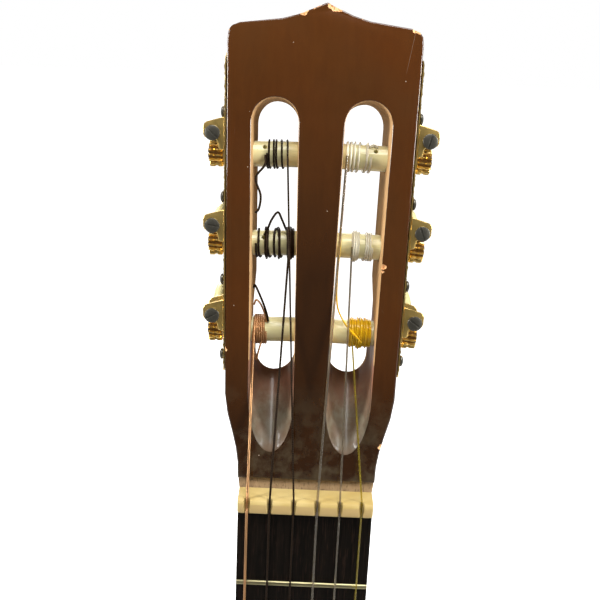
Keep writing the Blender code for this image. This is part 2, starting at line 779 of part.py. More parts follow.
# ---------------------------------------------------------------- bracing
def cross_brace(name, z, width, tall, at_back):
    """Bar across a plate, with its ends shaved down."""
    half = half_width_at(z, SIDE_THICK + GAP + LINING_WIDTH + 1.0) - 3.0
    tip, shave = 4.0, 30.0
    profile = [(-half, 0.0), (-half, tip), (-half + shave, tall), (half - shave, tall),
               (half, tip), (half, 0.0)]
    margin = PLATE + GAP
    rings = []
    for edge in (z - width / 2, z + width / 2):
        ring = []
        for x, d in profile:
            y = back_y(edge) - margin - d if at_back else margin + d
            ring.append((x, y, edge))
        rings.append(ring)
    add_object(name, loft(rings), soundboard_wood())


def fan_bracing():
    """Seven fan struts joined by the two closing bars below the bridge."""
    margin = PLATE + GAP
    outline = [(0.0, -786.0), (115.0, -742.0), (115.0, -736.0), (0.0, -780.0),
               (-115.0, -736.0), (-115.0, -742.0)]
    rings = [[(x, margin + d, z) for x, z in outline] for d in (0.05, 4.5)]
    closing = add_object("fan_bracing", loft(rings), soundboard_wood())
    struts = bmesh.new()
    for i in range(-3, 4):
        x_top, x_foot = 17.0 * i, 31.0 * i
        foot = -783.5 + abs(x_foot) * 0.383
        base = [(x_top - 2.5, -546.0), (x_top + 2.5, -546.0), (x_foot + 2.5, foot),
                (x_foot - 2.5, foot)]
        loft([[(x, margin + d, z) for x, z in base] for d in (0.0, 5.0)], struts)
    combine(closing, cutter("join_fans", struts), "UNION")


# ---------------------------------------------------------------- bridge, strings
def string_bottom(z):
    """Height of the strings' undersides over the frets."""
    at_nut = BOARD_TOP - FRET_HEIGHT - ACTION_AT_NUT
    drop = ACTION_AT_12 - ACTION_AT_NUT
    return at_nut - drop * z / BODY_TOP


def bridge():
    """Tie bridge: wings, a rail with the saddle's slot, and the tie block."""
    base = box(-BRIDGE_HALF, BRIDGE_HALF, -3.3, -GAP, -672.5, -643.5)
    piece = add_object("bridge", base, dark_wood())
    side_view = [(-644.0, -0.8), (-644.0, -3.6), (-646.0, -8.0), (-649.7, -8.4),
                 (-649.7, -3.8), (-653.3, -3.8), (-653.3, -8.4), (-654.0, -8.4),
                 (-657.5, -4.0), (-659.0, -4.0), (-659.0, -8.5), (-671.5, -8.5),
                 (-672.0, -3.8), (-672.0, -0.8)]
    rings = [[(x, y, z) for z, y in side_view] for x in (-BLOCK_HALF, BLOCK_HALF)]
    combine(piece, cutter("join_block", loft(rings)), "UNION")
    holes = bmesh.new()
    for number in STRING_NUMBERS:
        loft([[(saddle_x(number) + a, b - 6.0, z) for a, b in circle_points(1.0, 8)]
              for z in (-658.0, -674.0)], holes)
    combine(piece, cutter("cut_tie_holes", holes), "DIFFERENCE")


def saddle():
    profile = [(-650.0, -4.1), (-650.0, -11.0), (-651.0, SADDLE_TOP + GAP + 0.3),
               (-652.0, SADDLE_TOP + GAP + 0.3), (-653.0, -11.0), (-653.0, -4.1)]
    rings = [[(x, y, z) for z, y in profile] for x in (1 - BLOCK_HALF, BLOCK_HALF - 1)]
    add_object("saddle", loft(rings), bone())


def saddle_x(number):
    return (3.5 - number) * SADDLE_SPACING


def string_route(number):
    """Centre line from the roller over the nut and saddle to the tie block."""
    radius = STRING_RADIUS[number]
    side, v = string_side(number), ROLLER_V[number]
    top = ROLLER_RADIUS - ROLLER_DEPTH + GAP + radius
    start = on_head(ROLLER_X[number], v, top)
    x_nut, x_saddle = NUT_X[number], saddle_x(number)
    crest = string_bottom(SADDLE_Z) - radius
    points = [start, (x_nut, string_bottom(0.0) - radius + 2.35, NUT_LENGTH + 0.3),
              (x_nut, string_bottom(0.0) - radius, 0.9),
              (x_saddle, crest, SADDLE_Z + 0.6), (x_saddle, crest + 0.25, SADDLE_Z - 0.6),
              (x_saddle, -6.0, -658.6), (x_saddle, -6.0, -672.9),
              (x_saddle, -7.4, -673.9), (x_saddle, -9.3 - radius, -672.6),
              (x_saddle + 1.6, -9.3 - radius, -659.3), (x_saddle + 2.4, -8.6, -657.6)]
    slope = (start[1] - points[1][1]) / (start[2] - points[1][2])
    points[1] = (x_nut, points[2][1] + slope * (NUT_LENGTH - 0.6), NUT_LENGTH + 0.3)
    return [Vector(p) for p in points]


def tube(points, radius, sides=6):
    """Thin round tube through a list of points."""
    rings = []
    for i, point in enumerate(points):
        before = points[max(0, i - 1)]
        after = points[min(len(points) - 1, i + 1)]
        forward = (after - before).normalized()
        across = Vector((1.0, 0.0, 0.0))
        up = forward.cross(across).normalized()
        across = up.cross(forward).normalized()
        rings.append([point + across * a + up * b for a, b in circle_points(radius, sides)])
    return loft(rings)


def string(number):
    mat = wound() if number > 3 else nylon()
    add_object(f"string_{number}", tube(string_route(number), STRING_RADIUS[number]), mat)


# ---------------------------------------------------------------- assembly
def clear_scene():
    for obj in list(bpy.data.objects):
        bpy.data.objects.remove(obj, do_unlink=True)


def build_head_and_neck():
    headstock()
    head_veneer()
    neck()
    heel_cap()
    fingerboard()
    nut()


def build_tuners():
    tuner_plate(-1, "tuner_plate_bass")
    tuner_plate(1, "tuner_plate_treble")
    for number in STRING_NUMBERS:
        roller(number)
        gear(number)
        worm_shaft(number)
        button(number)


def build_body():
    soundboard()
    rosette()
    back_plate()
    for side, label in ((-1, "bass"), (1, "treble")):
        rib(side, f"side_{label}")
        lining(side, f"top_lining_{label}", False)
        lining(side, f"back_lining_{label}", True)
    binding("top_binding", False)
    binding("back_binding", True)
    end_block("neck_block", True, 30.0, 26.0)
    end_block("tail_block", False, 38.0, 14.0)
    end_graft()


def build_bracing():
    cross_brace("upper_harmonic_bar", -432.0, 6.0, 16.0, False)
    cross_brace("lower_harmonic_bar", -537.0, 6.0, 16.0, False)
    for name, z in (("back_brace_upper", -398.0), ("back_brace_waist", -517.0),
                    ("back_brace_lower", -665.0)):
        cross_brace(name, z, 6.0, 14.0, True)
    fan_bracing()


def build_bridge_and_strings():
    bridge()
    saddle()
    for number in STRING_NUMBERS:
        string(number)


clear_scene()
build_head_and_neck()
build_tuners()
build_body()
build_bracing()
build_bridge_and_strings()
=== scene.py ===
# %% [markdown]
# # A classical guitar with a slotted head
# The frame holds every solid of the guitar at its real size. This lesson puts the finished
# surfaces on it: a lacquered head with chipped corners, gilt machines, old strings and a
# varnished body. Pieces are drawn in millimetres, then laid in place in metres.

# %% Load the frame
import math

import bpy
from mathutils import Matrix, Vector, noise


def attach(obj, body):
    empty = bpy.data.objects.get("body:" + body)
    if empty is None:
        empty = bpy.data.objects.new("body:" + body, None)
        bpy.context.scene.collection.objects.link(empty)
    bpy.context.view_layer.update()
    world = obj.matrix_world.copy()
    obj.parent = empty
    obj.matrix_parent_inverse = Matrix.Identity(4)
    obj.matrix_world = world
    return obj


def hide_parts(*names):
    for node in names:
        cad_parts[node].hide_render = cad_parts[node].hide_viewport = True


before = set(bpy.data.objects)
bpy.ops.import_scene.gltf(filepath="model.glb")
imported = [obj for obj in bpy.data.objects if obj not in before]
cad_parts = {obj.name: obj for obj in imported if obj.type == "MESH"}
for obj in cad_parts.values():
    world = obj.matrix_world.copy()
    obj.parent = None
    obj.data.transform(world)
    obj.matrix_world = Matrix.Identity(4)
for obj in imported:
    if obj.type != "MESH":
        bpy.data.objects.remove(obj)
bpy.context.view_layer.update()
print("frame nodes:", len(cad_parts))

# %% [markdown]
# The camera stands close in front of the head and a little above it, and looks down along
# the neck. It is turned slightly on its own axis, as a hand-held one is.

# %% Camera
CAMERA_PLACE = (-0.0055, -0.2366, 0.1786)
CAMERA_DIP = math.radians(20.86)
CAMERA_ROLL = math.radians(2.38)
LENS = 41.7

bpy.ops.object.camera_add(location=CAMERA_PLACE)
camera = bpy.context.object
camera.rotation_euler = (
    Matrix.Rotation(math.pi / 2 - CAMERA_DIP, 4, "X") @ Matrix.Rotation(CAMERA_ROLL, 4, "Z")
).to_euler()
camera.data.lens = LENS
camera.data.sensor_width = 36.0
camera.data.clip_start = 0.01
bpy.context.scene.camera = camera
print("camera at", CAMERA_PLACE)

# %% [markdown]
# A hanging guitar needs only a pale floor below it and soft light. The backdrop is white,
# but it lights the guitar much less than it shows, so the lacquer stays deep. Soft boxes on
# both sides give the lacquer its bright edge lines.

# %% Floor, sky and lights
FLOOR_Z = -0.95
FLOOR_GLOW = 1.1
FLOOR_GREY = (0.9, 0.9, 0.9, 1.0)
WHITE = (1.0, 1.0, 1.0, 1.0)
WARM_WHITE = (1.0, 0.97, 0.92, 1.0)
SKY_STRENGTH = 0.13
bpy.ops.object.select_all(action="DESELECT")
bpy.ops.mesh.primitive_plane_add(size=40.0, location=(0.0, 0.0, FLOOR_Z))
floor = bpy.context.object
floor.name = "studio_floor"
floor_paint = bpy.data.materials.new("studio_floor")
floor_paint.use_nodes = True
paint_tree = floor_paint.node_tree
floor_shader = paint_tree.nodes["Principled BSDF"]
floor_shader.inputs["Base Color"].default_value = FLOOR_GREY
floor_shader.inputs["Roughness"].default_value = 0.9
floor_shader.inputs["Emission Color"].default_value = WHITE
seen_by = paint_tree.nodes.new("ShaderNodeLightPath")
glow = paint_tree.nodes.new("ShaderNodeMath")
glow.operation = "MULTIPLY"
glow.inputs[1].default_value = FLOOR_GLOW
paint_tree.links.new(seen_by.outputs["Is Camera Ray"], glow.inputs[0])
paint_tree.links.new(glow.outputs["Value"], floor_shader.inputs["Emission Strength"])
floor.data.materials.append(floor_paint)

bpy.context.scene.view_settings.view_transform = "Standard"
world = bpy.data.worlds.new("studio_sky")
bpy.context.scene.world = world
world.use_nodes = True
sky = world.node_tree
shown = sky.nodes["Background"]
shown.inputs["Color"].default_value = WHITE
lighting = sky.nodes.new("ShaderNodeBackground")
lighting.inputs["Color"].default_value = WARM_WHITE
lighting.inputs["Strength"].default_value = SKY_STRENGTH
rays = sky.nodes.new("ShaderNodeLightPath")
choose = sky.nodes.new("ShaderNodeMixShader")
sky.links.new(rays.outputs["Is Camera Ray"], choose.inputs["Fac"])
sky.links.new(lighting.outputs["Background"], choose.inputs[1])
sky.links.new(shown.outputs["Background"], choose.inputs[2])
sky.links.new(choose.outputs["Shader"], sky.nodes["World Output"].inputs["Surface"])


# name, place, target, (width, height), watts
SOFT_BOXES = [
    ("left_strip", (-0.7, -0.16, 0.36), (0.0, 0.02, 0.1), (0.16, 0.3), 8.0),
    ("right_strip", (0.7, -0.2, 0.36), (0.0, 0.02, 0.1), (0.16, 0.3), 8.0),
    ("top_soft_box", (0.15, -0.32, 1.4), (0.0, 0.0, 0.1), (0.9, 0.4), 19.0),
    ("low_left_soft_box", (-1.5, -1.1, -0.8), (0.0, 0.0, -0.6), (0.8, 0.8), 5.0),
    ("low_right_soft_box", (1.5, -1.2, -0.5), (0.0, 0.0, -0.6), (0.8, 0.8), 5.0),
    ("back_soft_box", (-0.6, 2.0, 0.6), (0.0, 0.0, -0.5), (1.2, 1.2), 26.0)]

for name, place, target, size, power in SOFT_BOXES:
    bpy.ops.object.light_add(type="AREA", location=place)
    lamp = bpy.context.object
    lamp.name = name
    lamp.data.shape = "RECTANGLE"
    lamp.data.size, lamp.data.size_y = size
    lamp.data.energy = power
    lamp.rotation_euler = (Vector(target) - Vector(place)).to_track_quat("-Z", "Y").to_euler()

# %% [markdown]
# Small helpers for working as by hand: select one object, cut one piece with another, wrap
# a skin round sections or a path, and lay a finished piece on the guitar.

# %% Bench helpers
MM = 0.001
SAME_POINT = 0.0005


def circle_angles(count):
    return [2 * math.pi * k / count for k in range(count)]


def only(obj):
    """Select one object alone and make it the active one."""
    bpy.ops.object.select_all(action="DESELECT")
    obj.select_set(True)
    bpy.context.view_layer.objects.active = obj


def edit(obj, kind="VERT"):
    """Open one object for editing by its vertices, edges or faces."""
    only(obj)
    modes = tuple(kind == each for each in ("VERT", "EDGE", "FACE"))
    bpy.context.tool_settings.mesh_select_mode = modes
    bpy.ops.object.mode_set(mode="EDIT")


def leave():
    bpy.ops.object.mode_set(mode="OBJECT")


def face_outwards():
    """Turn every face of the piece being edited outwards, then leave edit mode."""
    bpy.ops.mesh.select_all(action="SELECT")
    bpy.ops.mesh.normals_make_consistent(inside=False)
    leave()


def apply_modifier(obj, kind, **settings):
    only(obj)
    mod = obj.modifiers.new(kind.lower(), kind)
    for key, value in settings.items():
        setattr(mod, key, value)
    bpy.ops.object.modifier_apply(modifier=mod.name)


def bevel(obj, width, segments=3, angle=30.0):
    apply_modifier(obj, "BEVEL", width=width, segments=segments, limit_method="ANGLE",
                   angle_limit=math.radians(angle), harden_normals=False)


def cut(target, tool, operation="DIFFERENCE"):
    """Cut or join one piece with another, which is used up."""
    apply_modifier(target, "BOOLEAN", object=tool, operation=operation, solver="EXACT",
                   material_mode="TRANSFER")
    bpy.data.objects.remove(tool, do_unlink=True)


def join(pieces, name):
    """Put separate meshes into one object."""
    only(pieces[0])
    for piece in pieces[1:]:
        piece.select_set(True)
    bpy.ops.object.join()
    pieces[0].name = name
    return pieces[0]


def cut_out(name, outline, start, push):
    """A disc whose rim is drawn out to an outline (x, z) at y = start, then pushed out."""
    bpy.ops.object.select_all(action="DESELECT")
    bpy.ops.mesh.primitive_circle_add(vertices=len(outline), radius=1.0, fill_type="NGON")
    obj = bpy.context.object
    obj.name = name
    for vert, (x, z) in zip(obj.data.vertices, outline):
        vert.co = (x, start, z)
    edit(obj)
    bpy.ops.mesh.select_all(action="SELECT")
    bpy.ops.mesh.extrude_region_move(TRANSFORM_OT_translate={"value": push})
    face_outwards()
    return obj


def skin(name, rings, ends=True):
    """A flat grid wrapped through closed rings of points: columns round, rows along."""
    columns, rows = len(rings[0]), len(rings)
    bpy.ops.object.select_all(action="DESELECT")
    bpy.ops.mesh.primitive_grid_add(x_subdivisions=columns, y_subdivisions=rows - 1, size=1.0)
    obj = bpy.context.object
    obj.name = name
    for index, vert in enumerate(obj.data.vertices):
        row, column = divmod(index, columns + 1)
        vert.co = rings[row][column % columns]
    edit(obj)
    bpy.ops.mesh.select_all(action="SELECT")
    bpy.ops.mesh.remove_doubles(threshold=SAME_POINT)
    if ends:
        bpy.ops.mesh.fill_holes(sides=0)
    face_outwards()
    return obj


def sweep(name, points, radius, sides=10):
    """Round wire along a path, without twist; its UV map runs in millimetres."""
    points = [Vector(p) for p in points]
    rings, across = [], None
    for i, point in enumerate(points):
        forward = (points[min(i + 1, len(points) - 1)] - points[max(i - 1, 0)]).normalized()
        if across is None:
            across = forward.orthogonal().normalized()
        across = (across - forward * across.dot(forward)).normalized()
        other = forward.cross(across)
        rings.append([point + (across * math.cos(a) + other * math.sin(a)) * radius
                      for a in circle_angles(sides)])
    wire = skin(name, rings)
    length = sum((b - a).length for a, b in zip(points, points[1:]))
    for corner in wire.data.uv_layers.active.data:
        corner.uv.y *= length
    return wire


def smooth_path(points, count):
    """Points spaced along one smooth curve through a few chosen ones."""
    points = [Vector(p) for p in points]
    padded = [2 * points[0] - points[1]] + points + [2 * points[-1] - points[-2]]
    result = []
    spans = len(points) - 1
    for i in range(count):
        place = spans * i / (count - 1)
        span = min(int(place), spans - 1)
        t = place - span
        a, b, c, d = padded[span:span + 4]
        result.append(0.5 * ((2 * b) + (c - a) * t + (2 * a - 5 * b + 4 * c - d) * t * t
                             + (3 * b - a - 3 * c + d) * t ** 3))
    return result


def settle(obj, matrix, body, slot, solid, *finishes, smooth=35.0):
    """Lay a piece in its place in metres, on its body; it may stand for one solid."""
    only(obj)
    obj.matrix_world = Matrix.Scale(MM, 4) @ matrix
    bpy.ops.object.transform_apply(location=True, rotation=True, scale=True)
    if matrix.determinant() < 0:
        edit(obj)
        face_outwards()
    bpy.ops.object.shade_smooth_by_angle(angle=math.radians(smooth))
    if finishes:
        obj.data.materials.clear()
        for paint in finishes:
            obj.data.materials.append(paint)
    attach(obj, body)
    if solid:
        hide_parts(solid)
    return obj


print("helpers ready")

# %% [markdown]
# Effects that several finishes share are node groups. Grain stretches noise along the neck,
# wear gives sparse specks and hairline scratches, and grime gives soft cloudy patches. Each
# group puts out masks and heights only, and each finish mixes them with its own colours.

# %% Node groups
def new_group(name, inputs, outputs):
    """Empty group with its sockets, and its input and output nodes."""
    group = bpy.data.node_groups.new(name, "ShaderNodeTree")
    for label, kind, value in inputs:
        socket = group.interface.new_socket(name=label, in_out="INPUT", socket_type=kind)
        socket.default_value = value
    for label, kind in outputs:
        group.interface.new_socket(name=label, in_out="OUTPUT", socket_type=kind)
    return group, group.nodes.new("NodeGroupInput"), group.nodes.new("NodeGroupOutput")


def node(tree, kind, inputs=None, **settings):
    """Add a node, set its options, and feed its inputs with values or sockets."""
    made = tree.nodes.new(kind)
    for key, value in settings.items():
        setattr(made, key, value)
    for key, value in (inputs or {}).items():
        if isinstance(value, bpy.types.NodeSocket):
            tree.links.new(value, made.inputs[key])
        else:
            made.inputs[key].default_value = value
    return made


def ramp(tree, source, stops):
    """Colour ramp from (position, grey or colour) stops."""
    made = node(tree, "ShaderNodeValToRGB", {"Fac": source})
    elements = made.color_ramp.elements
    while len(elements) < len(stops):
        elements.new(0.5)
    for element, (place, colour) in zip(elements, stops):
        element.position = place
        grey = isinstance(colour, (int, float))
        element.color = (colour, colour, colour, 1.0) if grey else (*colour, 1.0)
    return made.outputs["Color"]


def math_node(tree, operation, a, b):
    return node(tree, "ShaderNodeMath", {0: a, 1: b}, operation=operation).outputs[0]


def place_in(tree):
    return node(tree, "ShaderNodeTexCoord").outputs["Object"]


def axes(tree, vector):
    return node(tree, "ShaderNodeSeparateXYZ", {"Vector": vector}).outputs


def times(tree, a, b):
    return math_node(tree, "MULTIPLY", a, b)


def grain_group():
    """Long wood figure: a light and dark mask, fine pores, and a height."""
    group, given, out = new_group(
        "wood_grain",
        [("Stretch", "NodeSocketVector", (300.0, 300.0, 9.0)),
         ("Pore Stretch", "NodeSocketVector", (1500.0, 1500.0, 45.0))],
        [("Figure", "NodeSocketFloat"), ("Pores", "NodeSocketFloat")])
    where = place_in(group)
    wide = node(group, "ShaderNodeVectorMath", {0: where, 1: given.outputs["Stretch"]},
                operation="MULTIPLY").outputs[0]
    fine = node(group, "ShaderNodeVectorMath", {0: where, 1: given.outputs["Pore Stretch"]},
                operation="MULTIPLY").outputs[0]
    figure = node(group, "ShaderNodeTexNoise", {"Vector": wide, "Scale": 1.0, "Detail": 5.0,
                                                "Roughness": 0.6, "Distortion": 0.6})
    pores = node(group, "ShaderNodeTexNoise", {"Vector": fine, "Scale": 1.0, "Detail": 2.0})
    group.links.new(figure.outputs["Fac"], out.inputs["Figure"])
    group.links.new(ramp(group, pores.outputs["Fac"], [(0.55, 0.0), (0.68, 1.0)]),
                    out.inputs["Pores"])
    return group


def wear_group():
    """Sparse specks and hairline scratches on a handled surface."""
    group, given, out = new_group(
        "fine_wear",
        [("Speck Scale", "NodeSocketFloat", 260.0), ("Speck Size", "NodeSocketFloat", 0.055),
         ("Scratch Scale", "NodeSocketFloat", 90.0)],
        [("Specks", "NodeSocketFloat"), ("Scratches", "NodeSocketFloat")])
    where = place_in(group)
    cells = node(group, "ShaderNodeTexVoronoi",
                 {"Vector": where, "Scale": given.outputs["Speck Scale"]})
    near = math_node(group, "LESS_THAN", cells.outputs["Distance"],
                     given.outputs["Speck Size"])
    rare = node(group, "ShaderNodeSeparateColor", {"Color": cells.outputs["Color"]})
    chosen = math_node(group, "GREATER_THAN", rare.outputs["Red"], 0.86)
    group.links.new(times(group, near, chosen), out.inputs["Specks"])
    tilt = node(group, "ShaderNodeMapping", {"Vector": where, "Rotation": (0.3, 0.5, 0.9),
                                             "Scale": (1.0, 1.0, 0.05)})
    lines = node(group, "ShaderNodeTexVoronoi",
                 {"Vector": tilt.outputs[0], "Scale": given.outputs["Scratch Scale"]},
                 feature="DISTANCE_TO_EDGE")
    thin = ramp(group, lines.outputs["Distance"], [(0.0, 1.0), (0.008, 0.0)])
    patch = node(group, "ShaderNodeTexNoise", {"Vector": where, "Scale": 40.0})
    some = ramp(group, patch.outputs["Fac"], [(0.62, 0.0), (0.7, 0.7)])
    group.links.new(times(group, thin, some), out.inputs["Scratches"])
    return group


def grime_group():
    """Cloudy dust and handling marks at two scales."""
    group, given, out = new_group(
        "grime", [("Scale", "NodeSocketFloat", 30.0)], [("Clouds", "NodeSocketFloat"),
                                                        ("Blotches", "NodeSocketFloat")])
    where = place_in(group)
    clouds = node(group, "ShaderNodeTexNoise", {"Vector": where, "Detail": 6.0,
                                                "Scale": given.outputs["Scale"],
                                                "Roughness": 0.65})
    wide = times(group, given.outputs["Scale"], 0.35)
    blotches = node(group, "ShaderNodeTexNoise", {"Vector": where, "Scale": wide,
                                                  "Detail": 2.0})
    group.links.new(clouds.outputs["Fac"], out.inputs["Clouds"])
    group.links.new(ramp(group, blotches.outputs["Fac"], [(0.35, 0.0), (0.65, 1.0)]),
                    out.inputs["Blotches"])
    return group


GRAIN, WEAR, GRIME = grain_group(), wear_group(), grime_group()
print("node groups:", [g.name for g in bpy.data.node_groups])

# %% [markdown]
# Each finish is a material of its own. The helper starts it with constant values on the
# shader, and gives back the tree so that the finish can add what varies over the surface.

# %% Finish helpers
def finish(name, **values):
    mat = bpy.data.materials.new(name)
    mat.use_nodes = True
    tree = mat.node_tree
    shader = tree.nodes["Principled BSDF"]
    for key, value in values.items():
        shader.inputs[key.replace("_", " ")].default_value = value
    return mat, tree, shader


def placed(tree, group, **values):
    """Outputs of a shared effect, with its inputs set to constants."""
    made = tree.nodes.new("ShaderNodeGroup")
    made.node_tree = group
    for key, value in values.items():
        made.inputs[key.replace("_", " ")].default_value = value
    return made.outputs


def blend(tree, mask, low, high):
    """Mix two colours or greys by a mask."""
    made = node(tree, "ShaderNodeMix", data_type="RGBA")
    tree.links.new(mask, made.inputs["Factor"])
    for index, value in ((6, low), (7, high)):
        if isinstance(value, bpy.types.NodeSocket):
            tree.links.new(value, made.inputs[index])
        elif isinstance(value, (int, float)):
            made.inputs[index].default_value = (value, value, value, 1.0)
        else:
            made.inputs[index].default_value = (*value, 1.0)
    return made.outputs[2]


def bump(tree, shader, height, strength, distance=0.0002):
    made = node(tree, "ShaderNodeBump", {"Height": height, "Strength": strength,
                                         "Distance": distance})
    tree.links.new(made.outputs["Normal"], shader.inputs["Normal"])


def rising(tree, value, low, high):
    """Mask that rises from 0 to 1 while a value goes from low to high."""
    return node(tree, "ShaderNodeMapRange", {"Value": value, "From Min": low,
                                             "From Max": high}).outputs["Result"]


def along(tree, axis, low, high):
    """Mask that rises between two heights of one world axis."""
    return rising(tree, axes(tree, place_in(tree))[axis], low, high)


def coat(tree, shader, colour, clouds, smoothest, roughest):
    """Give the shader its colour, and a roughness that drifts with the clouds."""
    tree.links.new(colour, shader.inputs["Base Color"])
    tree.links.new(blend(tree, clouds, smoothest, roughest), shader.inputs["Roughness"])


def darker(colour, share):
    return tuple(share * c for c in colour)


def wave(tree, value, count):
    """Even ripple between 0 and 1; count is how fast it turns with the value."""
    swing = math_node(tree, "SINE", times(tree, value, count), 0.0)
    lifted = math_node(tree, "MULTIPLY_ADD", swing, 0.5)
    lifted.node.inputs[2].default_value = 0.5
    return lifted


def lacquer(name, warm, dark, dusty, rough=0.16, gloss=(0.6, 0.04)):
    """Gloss lacquer over stained wood: warm at the top, dark at the middle, and lighter at the
    sides as a painted reflection.
    """
    mat, tree, shader = finish(name, Coat_Weight=gloss[0], Coat_Roughness=gloss[1],
                               Specular_IOR_Level=0.25)
    grain = placed(tree, GRAIN)
    wear = placed(tree, WEAR)
    grime = placed(tree, GRIME, Scale=45.0)
    # Painted reflection: the head's face grows lighter towards its outer sides, standing for
    # the sheen of the lamps there.
    away = node(tree, "ShaderNodeMapRange", {
        "Value": math_node(tree, "ABSOLUTE", axes(tree, place_in(tree))["X"], 0.0),
        "From Min": 0.004, "From Max": 0.026, "To Min": 0.0, "To Max": 0.6})
    side_reflection = times(tree, away.outputs["Result"], along(tree, "Z", 0.03, 0.08))
    # The height mask joins the warmer top of the head with this painted reflection at the
    # sides.
    height = math_node(tree, "MAXIMUM", along(tree, "Z", 0.09, 0.185), side_reflection)
    reflection_and_height_tone = blend(tree, height, dark, warm)
    streaks = ramp(tree, grain["Figure"], [(0.3, 0.8), (0.7, 1.1)])
    toned = node(tree, "ShaderNodeMix", data_type="RGBA", blend_type="MULTIPLY")
    toned.inputs["Factor"].default_value = 0.7
    tree.links.new(reflection_and_height_tone, toned.inputs[6])
    tree.links.new(streaks, toned.inputs[7])
    wide = placed(tree, GRIME, Scale=85.0)
    orange = tuple(c * k for c, k in zip(warm, (1.3, 0.95, 0.5)))
    olive = tuple(c * k for c, k in zip(warm, (1.0, 1.15, 2.2)))
    patches = blend(tree, wide["Blotches"], orange, olive)
    half = times(tree, grime["Clouds"], 0.75)
    softly = blend(tree, times(tree, half, height), toned.outputs[2], patches)
    low = math_node(tree, "SUBTRACT", 1.0, along(tree, "Z", 0.014, 0.05))
    dust = times(tree, low, ramp(tree, wide["Clouds"], [(0.42, 0.0), (0.62, 0.75)]))
    dulled = blend(tree, times(tree, dust, dusty), softly, (0.105, 0.085, 0.05))
    specked = blend(tree, wear["Specks"], dulled, (0.4, 0.3, 0.22))
    scratched = blend(tree, wear["Scratches"], specked, (0.2, 0.14, 0.1))
    coat(tree, shader, scratched, grime["Clouds"], rough - 0.06, rough + 0.16)
    bump(tree, shader, grain["Figure"], 0.06)
    return mat


def plain_wood(name, light, dark, rough=0.5, stretch=(300.0, 300.0, 9.0), varnish=0.0,
               pores=(0.03, 0.015, 0.01), shine=0.3):
    """Wood with figure and pores, bare or varnished."""
    mat, tree, shader = finish(name, Coat_Weight=varnish, Coat_Roughness=0.08,
                               Specular_IOR_Level=shine)
    grain = placed(tree, GRAIN, Stretch=stretch,
                   Pore_Stretch=tuple(5.0 * s for s in stretch))
    grime = placed(tree, GRIME, Scale=18.0)
    figure = ramp(tree, grain["Figure"], [(0.32, dark), (0.68, light)])
    with_pores = blend(tree, times(tree, grain["Pores"], 0.45), figure, pores)
    coat(tree, shader, with_pores, grime["Clouds"], rough - 0.1, rough + 0.12)
    bump(tree, shader, grain["Pores"], -0.12 if varnish == 0.0 else -0.03)
    return mat


def dusty_shaded_ramp(name):
    """Unpolished ramp: grey dust lies in the middle, darkened low down as painted shade, and
    reddish staining shows near the slot.
    """
    mat, tree, shader = finish(name, Coat_Weight=0.2, Coat_Roughness=0.12,
                               Specular_IOR_Level=0.2)
    grain = placed(tree, GRAIN, Stretch=(260.0, 260.0, 60.0))
    grime = placed(tree, GRIME, Scale=150.0)
    wood = blend(tree, grain["Figure"], (0.075, 0.04, 0.02), (0.13, 0.08, 0.045))
    dust = ramp(tree, grime["Clouds"], [(0.4, 0.25), (0.6, 1.0)])
    # Painted shade: the dust colour darkens towards the low end of the ramp.
    dust_shaded_low = blend(tree, along(tree, "Z", 0.018, 0.036), (0.075, 0.055, 0.036), (0.19, 0.16, 0.11))
    dusty = blend(tree, dust, wood, dust_shaded_low)
    red = times(tree, along(tree, "Z", 0.034, 0.046),
                ramp(tree, grime["Blotches"], [(0.35, 0.6), (0.6, 1.0)]))
    coat(tree, shader, blend(tree, red, dusty, (0.3, 0.14, 0.085)), grime["Clouds"],
         0.4, 0.6)
    bump(tree, shader, grime["Clouds"], 0.25, 0.0004)
    return mat


def metal(name, bright, dull, rough, spots=0.5):
    """Worn metal: dull tarnish in clouds over a brighter ground."""
    mat, tree, shader = finish(name, Metallic=1.0)
    grime = placed(tree, GRIME, Scale=220.0)
    wear = placed(tree, WEAR, Speck_Scale=900.0)
    mask = times(tree, grime["Clouds"], spots)
    tarnish = blend(tree, mask, bright, dull)
    coat(tree, shader, blend(tree, wear["Scratches"], tarnish, bright),
         grime["Clouds"], rough - 0.08, rough + 0.2)
    bump(tree, shader, grime["Clouds"], 0.12, 0.0001)
    return mat


def moulded(name, clean, stained, rough=0.35, scale=90.0, through=0.0):
    """Cast or cut material such as bone, plastic and nylon, with stains in patches."""
    mat, tree, shader = finish(name, Transmission_Weight=through, IOR=1.5)
    grime = placed(tree, GRIME, Scale=scale)
    wear = placed(tree, WEAR, Speck_Scale=500.0)
    tone = blend(tree, grime["Blotches"], clean, stained)
    coat(tree, shader, blend(tree, wear["Specks"], tone, darker(stained, 0.4)),
         grime["Clouds"], rough - 0.08, rough + 0.12)
    bump(tree, shader, grime["Clouds"], 0.05, 0.0001)
    return mat


def wound(name, ground, groove, rough, turns=22.4):
    """Wire-wrapped string: close rings of wrap, with painted shade in the grooves between them;
    its UV map runs in millimetres.
    """
    mat, tree, shader = finish(name, Metallic=1.0)
    uv = node(tree, "ShaderNodeUVMap").outputs["UV"]
    ring = wave(tree, axes(tree, uv)["Y"], turns)
    grime = placed(tree, GRIME, Scale=160.0)
    # Painted shade: the groove colour darkens the string between the rings of wrap.
    tone = blend(tree, ring, groove, ground)
    coat(tree, shader, blend(tree, grime["Blotches"], tone, darker(ground, 0.55)),
         grime["Clouds"], rough - 0.05, rough + 0.2)
    bump(tree, shader, ring, 0.5, 0.0001)
    return mat


